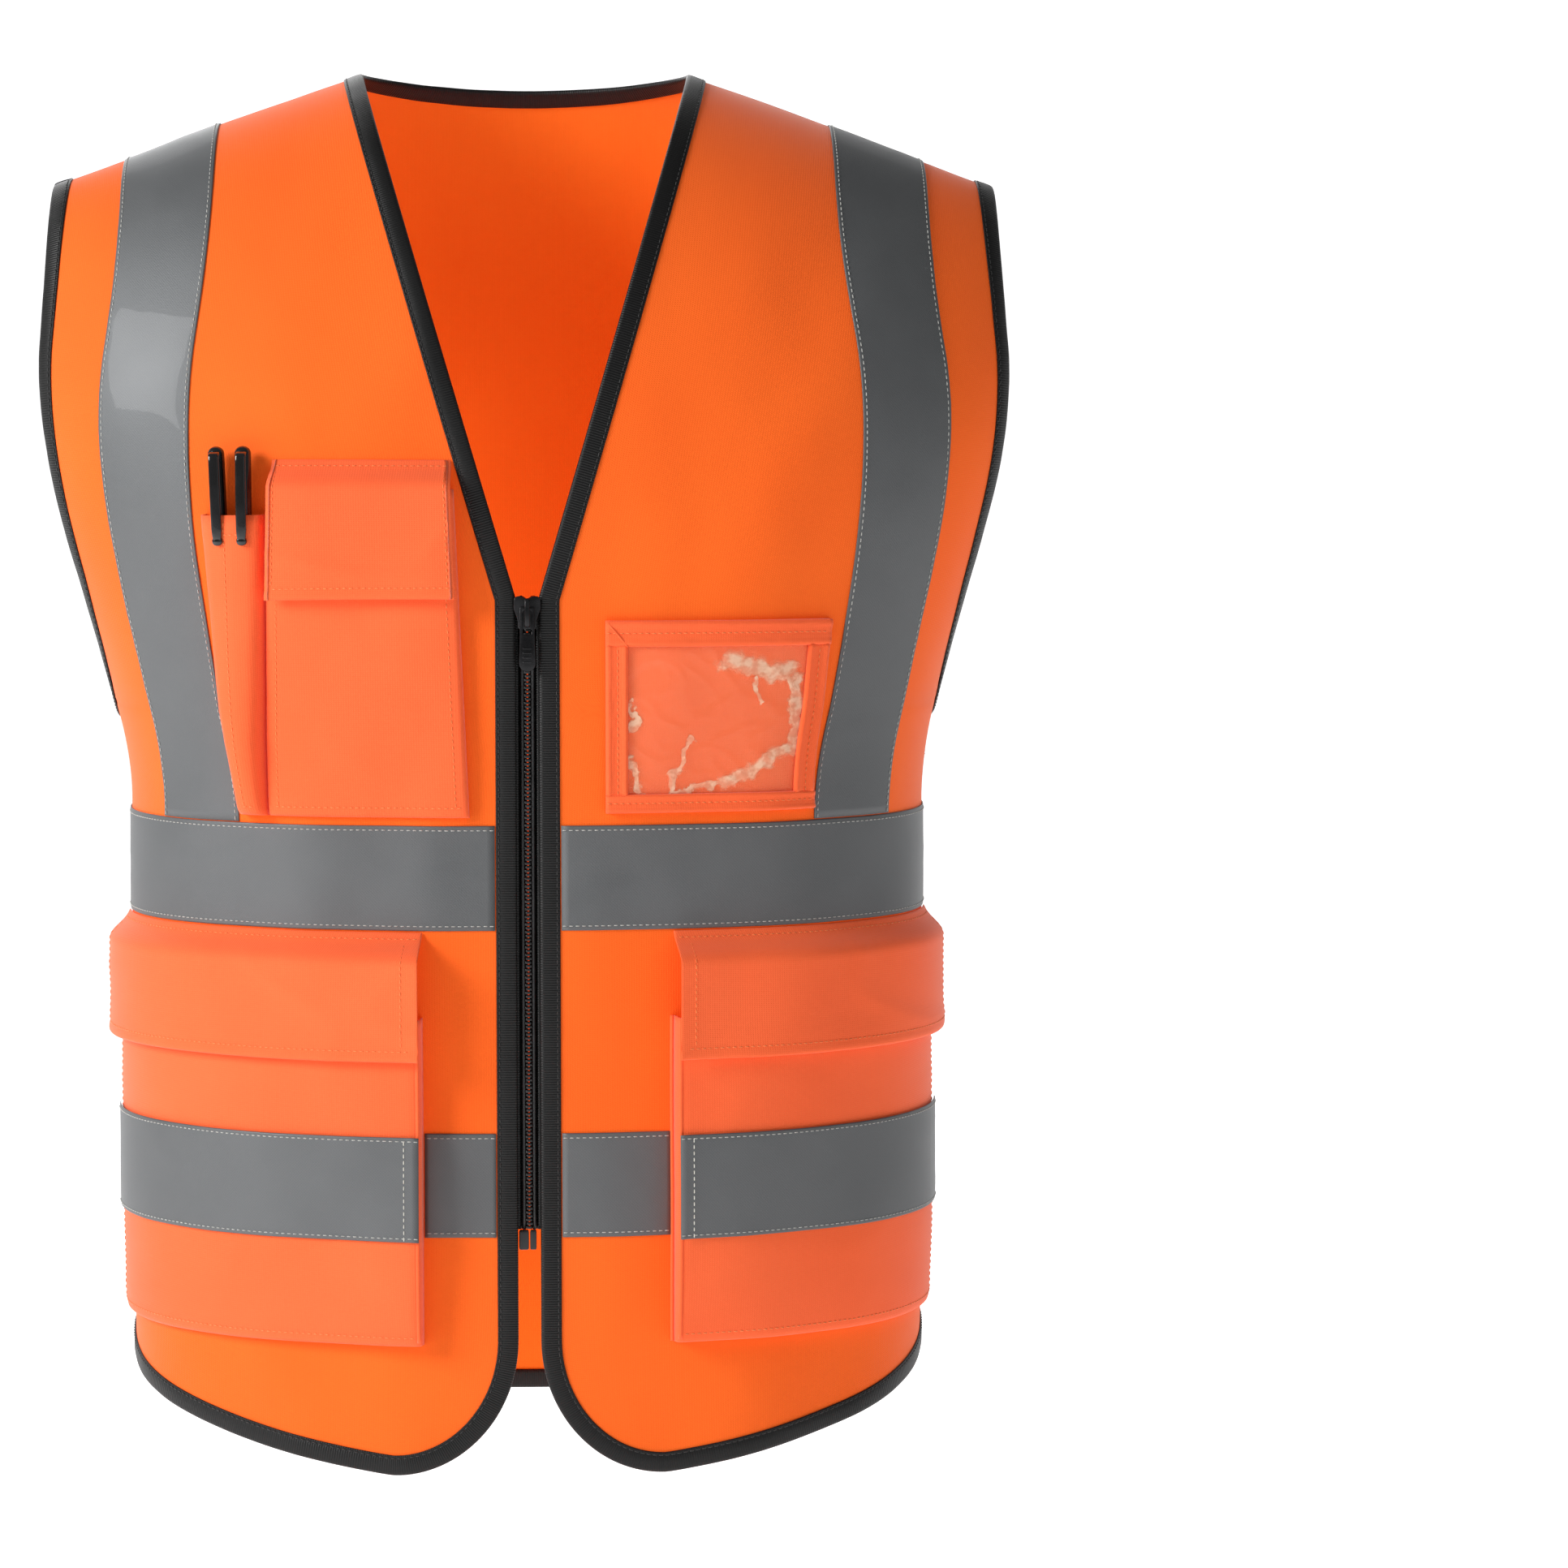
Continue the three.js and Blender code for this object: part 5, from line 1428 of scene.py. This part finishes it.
badge_lines = []
top_width, bottom_width, inner_width, outer_width = frame_widths.values()
strip_low = badge_bottom + bottom_width - 0.0006
strip_high = badge_top - top_width + 0.0006
for name, low, high, edge_a, edge_b, level in (
    ("inner", strip_low, strip_high, badge_inner, lambda z: badge_inset + inner_width, False),
    ("outer", strip_low, strip_high, lambda z: badge_outer(z) - outer_width, badge_outer, False),
    ("bottom", badge_bottom, badge_bottom + bottom_width, badge_inner, badge_outer, True),
    ("top", badge_top - top_width, badge_top, badge_inner, badge_outer, True),
):
    rows, columns = (22, 60) if level else (44, 22)
    over = 0.0003 if level else 0

    def strip_top(up, across):
        pucker = 0.00015 * lattice_noise(across * 14.0 + 0 * up, up * 11 + 0 * across, 87)
        return frame_base + over + rolled(up if level else across) + pucker

    strip, (x, z) = badge_sheet(
        f"badge_strip_{name}", low, high, edge_a, edge_b, rows, columns,
        lambda up, across: frame_base - 0.0003, strip_top, pocket_knit,
    )
    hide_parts(f"badge_frame_{name}")
    middle = (rows // 2, slice(None)) if level else (slice(None), columns // 2)
    badge_lines.append(line_on(FRONT, x[middle], z[middle], frame_base + over + 0.0007))
seam = stitching("badge_stitches", badge_lines, orange_thread)
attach(seam, "front_left")
mitre_share = np.linspace(0, 1, 12)
mitre_line, _ = line_on(
    FRONT,
    badge_inset + 0.001 + 0.0095 * mitre_share,
    badge_top - 0.001 - 0.0115 * mitre_share,
    frame_base + 0.0014,
)
mitre = cord_round("badge_mitre", mitre_line, 0.0005, pocket_knit)
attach(mitre, "front_left")

# ---- Zip -------------------------------------------------------------------------------------
# A black moulded zip: two combs of rounded teeth on a cord, on woven tape behind the bindings.
# Its slider is lacquered die-cast zinc with a loop for the pull, and a box and pin close its foot.
zip_bottom = 0.113 - origin_height
tooth_pitch = 0.0037
tooth_height = 0.0015
tooth_reach = 0.0012
tooth_thickness = 0.0026
cord_reach = 0.0016
chain_half_width = 0.0034
zip_tape_front = -0.0017
zip_tape_width = 0.0138
chain_middle = -0.0020
slider_top = v_bottom + 0.001
slider_height = 0.016
slider_bottom = slider_top - slider_height
chain_top = slider_bottom + slider_height / 4
tooth_count = int((chain_top - zip_bottom - 2 * tooth_pitch) / tooth_pitch)
chain_bottom = chain_top - tooth_count * tooth_pitch


def zip_y(offset):
    return -(front_depth + seam_gap / 2) - offset


def moulded(name, light, dark, roughness, **fixed):
    """Black plastic or lacquer: nearly even, with a fine grain and a few duller patches."""
    made, shader, at = material(name, **fixed)
    place = at.node("ShaderNodeTexCoord", out="Object")
    wear = place.noise(90, 4)
    grain = place.noise(2600, 2)
    wear.steps(0.35, 0.75).blended(dark, light).feed(shader, "Base Color")
    (wear * 0.18 + (roughness - 0.09)).feed(shader, "Roughness")
    grain.bump(0.2, 0.0001).feed(shader, "Normal")
    return made


zip_plastic = moulded("zip_plastic", colour(0.02, 0.02, 0.021), colour(0.01, 0.01, 0.01), 0.34)
lacquer = moulded(
    "black_lacquer", colour(0.028, 0.028, 0.03), colour(0.012, 0.012, 0.013), 0.26, Metallic=0.6
)


def rounded_blocks(name, places, size, skin, squareness=0.32, rings=10, sides=16):
    """Blocks of one size with rounded edges, at some places, as one object."""
    turn = 2 * math.pi * np.arange(sides) / sides
    climb = math.pi * (np.arange(1, rings) / rings - 0.5)

    def squared(value):
        return np.sign(value) * np.abs(value) ** squareness

    ring = np.stack([squared(np.cos(turn)), squared(np.sin(turn))], -1)
    rows = [
        np.column_stack([ring * squared(math.cos(c)), np.full(sides, squared(math.sin(c)))])
        for c in climb
    ]
    shape = np.concatenate([[[0, 0, -1]], *rows, [[0, 0, 1]]]) * np.asarray(size) / 2
    last = len(shape) - 1
    faces = []
    for i in range(sides):
        j = (i + 1) % sides
        faces.append((0, 1 + j, 1 + i))
        faces.append((last, last - sides + i, last - sides + j))
        for r in range(rings - 2):
            a, b = 1 + r * sides + i, 1 + r * sides + j
            faces.append((a, b, b + sides, a + sides))
    points = np.concatenate([shape + place for place in places])
    all_faces = [tuple(k + n * len(shape) for k in f) for n in range(len(places)) for f in faces]
    return mesh_piece(name, points, all_faces, skin)


def block_between(name, xs, offsets, heights, skin, squareness=0.25):
    """A rounded block between two x values, two offsets off the body and two heights."""
    middle = (sum(xs) / 2, zip_y(sum(offsets) / 2), sum(heights) / 2)
    size = [abs(pair[1] - pair[0]) for pair in (xs, offsets, heights)]
    return rounded_blocks(name, [middle], size, skin, squareness, 16, 24)


for side_name, side in SIDES:
    body = f"front_{side_name}"
    tape_x = side * np.linspace(0.0004, zip_tape_width, 30)[None, :]
    tape_z = np.linspace(chain_bottom, v_bottom - 0.0006, 120)[:, None]
    ripple = 0.00006 * np.sin(tape_z / 0.0019) + 0 * tape_x
    behind = 0.0017 * (1 - smooth(np.abs(tape_x), 0.0034, 0.0048))
    x, z = np.broadcast_arrays(tape_x, tape_z)
    front = np.stack([x, zip_y(zip_tape_front - 0.0001 - behind) + ripple, z], -1)
    back = np.stack([x, zip_y(zip_tape_front - 0.0006 - behind) + 0 * ripple, z], -1)
    woven = cloth_piece(f"zip_tape_{side_name}", front, back, ribbed)
    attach(woven, body)
    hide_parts(f"zipper_tape_{side_name}")
    shift = tooth_pitch / 2 if side == 1 else 0
    first = chain_bottom + shift + tooth_pitch / 4
    tooth_middle = side * (cord_reach - tooth_reach) / 2
    places = [
        (tooth_middle, zip_y(chain_middle), first + i * tooth_pitch) for i in range(tooth_count)
    ]
    size = (cord_reach + tooth_reach + 0.0006, tooth_thickness, tooth_height)
    teeth = rounded_blocks(f"zip_teeth_{side_name}", places, size, zip_plastic, 0.5)
    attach(teeth, body)
    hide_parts(f"zipper_teeth_{side_name}")
    run = np.linspace(chain_bottom, chain_top, 40)
    cord_x = side * (cord_reach + chain_half_width) / 2
    line = np.stack([0 * run + cord_x, 0 * run + zip_y(chain_middle), run], -1)
    cord = cord_round(f"zip_bead_{side_name}", line, 0.00085, zip_plastic, 12)
    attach(cord, body)
    stop = block_between(
        f"zip_stop_{side_name}",
        (side * 0.0003, side * chain_half_width),
        (chain_middle - tooth_thickness / 2, chain_middle + tooth_thickness / 2),
        (chain_top + 0.0003, chain_top + 0.0024),
        lacquer,
    )
    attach(stop, body)
    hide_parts(f"zipper_top_stop_{side_name}")

foot = (zip_bottom - 0.002, chain_bottom - 0.0003)
for name, xs, offsets, body, node in (
    ("box", (-0.0051, -0.0003), (-0.0036, -0.0004), "front_right", "zipper_retainer_box"),
    ("pin", (0.0003, 0.0034), (-0.0033, -0.0007), "front_left", "zipper_pin"),
):
    block = block_between(f"zip_foot_{name}", xs, offsets, foot, zip_plastic)
    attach(block, body)
    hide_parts(node)


def stamped(name, outlines, back, front, edge, skin):
    """A plate between two offsets off the body, cut to outlines in x and z, edges rounded."""
    curve = bpy.data.curves.new(name, "CURVE")
    curve.dimensions = "2D"
    curve.fill_mode = "BOTH"
    curve.extrude = (front - back) / 2 - edge
    curve.bevel_depth = edge
    curve.bevel_resolution = 2
    curve.offset = -edge
    for outline in outlines:
        spline = curve.splines.new("POLY")
        spline.points.add(len(outline) - 1)
        for point, (x, z) in zip(spline.points, outline):
            point.co = (x, z, 0, 1)
        spline.use_cyclic_u = True
    holder = bpy.data.objects.new(name, curve)
    scene.collection.objects.link(holder)
    bpy.context.view_layer.update()
    graph = bpy.context.evaluated_depsgraph_get()
    mesh = bpy.data.meshes.new_from_object(holder.evaluated_get(graph))
    bpy.data.objects.remove(holder)
    shape = bmesh.new()
    shape.from_mesh(mesh)
    bmesh.ops.remove_doubles(shape, verts=shape.verts, dist=2e-6)
    for point in shape.verts:
        x, z, depth = point.co
        point.co = (x, zip_y((front + back) / 2) + depth, z)
    bmesh.ops.recalc_face_normals(shape, faces=shape.faces)
    shape.to_mesh(mesh)
    shape.free()
    mesh.polygons.foreach_set("use_smooth", [True] * len(mesh.polygons))
    mesh.set_sharp_from_angle(angle=math.radians(35))
    mesh.materials.clear()
    mesh.materials.append(skin)
    plate = bpy.data.objects.new(name, mesh)
    scene.collection.objects.link(plate)
    return plate


def slider_outline(width, shoulder, waist):
    """Half of a slider plate's outline mirrored: broad shoulders, narrowing to its foot."""
    half = [
        (0.0006, slider_top - 0.0013),
        (0.0016, slider_top - 0.0006),
        (0.6 * width / 2, slider_top),
    ]
    for step in range(5):
        turn = math.radians(90 - 22.5 * step)
        x = width / 2 - shoulder + shoulder * math.cos(turn)
        half.append((x, slider_top - shoulder + shoulder * math.sin(turn)))
    half += [(width / 2, slider_top - 0.006), (waist, slider_top - 0.0115)]
    half += [(waist * 0.97, slider_bottom + 0.001), (waist * 0.8, slider_bottom)]
    return half + [(-x, z) for x, z in half[::-1]]


plate_back, plate_front = 0.0026, 0.0040
slider = stamped(
    "slider_front_plate", [slider_outline(0.013, 0.0022, 0.0046)], plate_back, plate_front,
    0.0004, lacquer,
)
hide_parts("zipper_slider")
rear_plate = stamped(
    "slider_rear_plate", [slider_outline(0.009, 0.0016, 0.0040)], -0.0051, -0.0037, 0.0004, lacquer
)
post = block_between(
    "slider_post", (0.0017, 0.0032), (-0.0044, 0.0033), (chain_top + 0.0027, slider_top), lacquer
)


def bar(name, line, wide, thick, skin, sides=16):
    """A flattened rounded bar along a line in the plane of the zip's middle."""
    line = np.asarray(line)
    run = unit(np.gradient(line, axis=0))
    side = np.broadcast_to([1.0, 0, 0], line.shape)
    over = np.cross(side, run)
    turn = 2 * math.pi * np.arange(sides) / sides
    flat_cos = np.sign(np.cos(turn)) * np.abs(np.cos(turn)) ** 0.6
    flat_sin = np.sign(np.sin(turn)) * np.abs(np.sin(turn)) ** 0.6
    end = np.minimum(np.arange(len(line)), np.arange(len(line))[::-1])
    plump = np.where(end == 0, 0.55, np.where(end == 1, 0.88, 1.0))[:, None]
    loops = np.stack(
        [
            line + plump * (side * c * wide / 2 + over * s * thick / 2)
            for c, s in zip(flat_cos, flat_sin)
        ],
        1,
    )
    return tube(name, loops, skin)


bridge_reach = 0.00695
arch = []
for step in range(33):
    turn = math.pi * step / 32
    height = (slider_top + slider_bottom) / 2 + math.cos(turn) * (slider_height / 2 - 0.0014)
    lift = plate_front - 0.0004 + (bridge_reach - plate_front + 0.0004) * math.sin(turn) ** 0.35
    arch.append((0.0, zip_y(lift), height))
bridge = bar("slider_bridge", arch, 0.0024, 0.0011, lacquer)
for piece in (slider, rear_plate, post, bridge):
    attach(piece, "slider")

pull_width = 0.008
pull_top = slider_top - 0.006 + 0.0008
pull_length = 0.031
slot_top = pull_top - 0.0016
slot_length = 0.0117
slot_width = 0.0044
pull_offset = 0.0052
pull_head, pull_neck = 0.0030, 0.0036  # half widths at the top and beside the slot
pull_outline = [(-pull_head, pull_top), (pull_head, pull_top), (pull_neck, pull_top - 0.0006)]
pull_outline.append((pull_neck, slot_top - slot_length))
for step in range(17):
    turn = math.radians(-180 * step / 16)
    place = pull_top - pull_length + pull_width / 2
    x, z = math.cos(turn) * pull_width / 2, place + math.sin(turn) * pull_width / 2
    pull_outline.append((x, z))
pull_outline += [(-pull_neck, slot_top - slot_length), (-pull_neck, pull_top - 0.0006)]
slot_round = 0.0012
pull_slot = []
for quarter_start, cx, cz in (
    (90, slot_width / 2 - slot_round, slot_top - slot_round),
    (0, slot_width / 2 - slot_round, slot_top - slot_length + slot_round),
    (-90, -slot_width / 2 + slot_round, slot_top - slot_length + slot_round),
    (-180, -slot_width / 2 + slot_round, slot_top - slot_round),
):
    for step in range(5):
        turn = math.radians(quarter_start - 22.5 * step)
        pull_slot.append((cx + slot_round * math.cos(turn), cz + slot_round * math.sin(turn)))
pull = stamped(
    "slider_pull", [pull_outline, pull_slot], pull_offset - 0.0007, pull_offset + 0.0007,
    0.0003, lacquer,
)
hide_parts("zipper_pull_tab")
grip_places = [
    (0, zip_y(pull_offset + 0.0007), pull_top - pull_length + 0.0045 + 0.0022 * i)
    for i in range(4)
]
grip = rounded_blocks("slider_pull_grip", grip_places, (0.0046, 0.0006, 0.0009), lacquer, 0.5)
for piece in (pull, grip):
    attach(piece, "pull_tab")

# ---- Pens ------------------------------------------------------------------------------------
# Two plain black ballpoint pens stand in the pen pocket, held by clips over its mouth. Both the
# barrel and the cap are glossy injection-moulded plastic.
pen_radius = 0.004
pen_length = 0.122
pen_above = 0.034
pen_cap_length = 0.050
pen_clip_length = 0.047
pen_spacing = 0.012
pen_foot_spacing = 0.0086
clip_seat = 0.0052  # where the clip springs from, below the top of the cap
clip_reach = pen_radius + 0.003
pen_foot = pen_mouth + pen_above - pen_length
pen_at_mouth = trim_base + pen_depth_mouth - 0.001 - layer_gap - pen_radius
pen_at_foot = pen_at_mouth + pen_depth_bottom - pen_depth_mouth - 5 * layer_gap
gloss = moulded(
    "pen_gloss", colour(0.009, 0.009, 0.01), colour(0.005, 0.005, 0.005), 0.14, Coat_Weight=0.5
)


def turned_piece(name, profile, skin, sides=36):
    """A piece turned about its axis, from radii and heights."""
    turn = 2 * math.pi * np.arange(sides) / sides
    ring = np.stack([np.cos(turn), np.sin(turn), 0 * turn], -1)
    loops = np.stack([ring * radius + (0, 0, height) for radius, height in profile])
    return tube(name, loops, skin)


dome = [
    (pen_radius * math.cos(a), pen_length - pen_radius * 0.9 * (1 - math.sin(a)))
    for a in np.radians(np.linspace(0, 84, 12))
]
cap_foot = pen_length - pen_cap_length
cap_profile = [
    (pen_radius * 0.93, cap_foot),
    (pen_radius * 0.99, cap_foot + 0.0003),
    (pen_radius, cap_foot + 0.0018),
    (pen_radius * 0.96, cap_foot + 0.0022),
    (pen_radius * 0.96, cap_foot + 0.0028),
    (pen_radius, cap_foot + 0.0033),
    (pen_radius, cap_foot + 0.02),
] + dome
barrel_radius = pen_radius - 0.0004
barrel_profile = [
    (0.0004, 0.0),
    (0.0007, 0.0012),
    (0.0011, 0.0030),
    (0.0013, 0.0033),
    (barrel_radius * 0.62, 0.008),
    (barrel_radius * 0.86, 0.015),
    (barrel_radius, 0.022),
    (barrel_radius * 0.97, 0.0225),
    (barrel_radius * 0.97, 0.0232),
    (barrel_radius, 0.0238),
    (barrel_radius, cap_foot - 0.0003),
]
for number, along in ((1, 0.5), (2, -0.5)):
    head_x = -((groove + pen_outer(pen_mouth)) / 2 + along * pen_spacing)
    foot_x = -((groove + pen_outer(pen_foot)) / 2 + along * pen_foot_spacing)
    foot_point, foot_normal = form(FRONT, foot_x, pen_foot)
    head_point, head_normal = form(FRONT, head_x, pen_mouth)
    foot_point = foot_point + foot_normal * (pen_at_foot + drape(FRONT, foot_x, pen_foot))
    head_point = head_point + head_normal * (pen_at_mouth + drape(FRONT, head_x, pen_mouth))
    lean = Vector(head_point - foot_point).normalized()
    stand = Vector((0, 0, 1)).rotation_difference(lean)
    facing = math.atan2(head_normal[1], head_normal[0])
    barrel = turned_piece(f"ballpoint_{number}_barrel", barrel_profile, gloss)
    cap = turned_piece(f"ballpoint_{number}_cap", cap_profile, gloss)
    clip_line = []
    for step in range(9):
        turn = math.radians(90 * step / 8)
        reach = 0.0005 + (clip_reach + 0.0003) * math.sin(turn)
        clip_line.append((0.0, -reach, pen_length - clip_seat + 0.0022 * math.cos(turn)))
    for step in range(1, 14):
        down = step / 13
        bulge = 0.0005 * math.sin(math.pi * down)
        drop = pen_clip_length - 0.0055
        clip_line.append((0.0, -clip_reach - 0.0008 - bulge, pen_length - clip_seat - down * drop))
    clip = bar(f"ballpoint_{number}_clip", clip_line, 0.0050, 0.0016, gloss)
    tip = rounded_blocks(
        f"ballpoint_{number}_clip_end",
        [(0, -clip_reach - 0.0004, pen_length - pen_clip_length + 0.0016)],
        (0.0052, 0.0024, 0.0046),
        gloss,
        0.9,
    )
    for piece in (barrel, cap, clip, tip):
        if piece in (clip, tip):
            for point in piece.data.vertices:
                x, y, z = point.co
                turn = (facing + math.pi / 2) * 0.4
                point.co.x = x * math.cos(turn) - y * math.sin(turn)
                point.co.y = x * math.sin(turn) + y * math.cos(turn)
        for point in piece.data.vertices:
            point.co = stand @ point.co + Vector(foot_point)
        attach(piece, f"pen_{number}")
    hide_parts(f"pen_{number}_barrel")
    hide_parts(f"pen_{number}_cap")
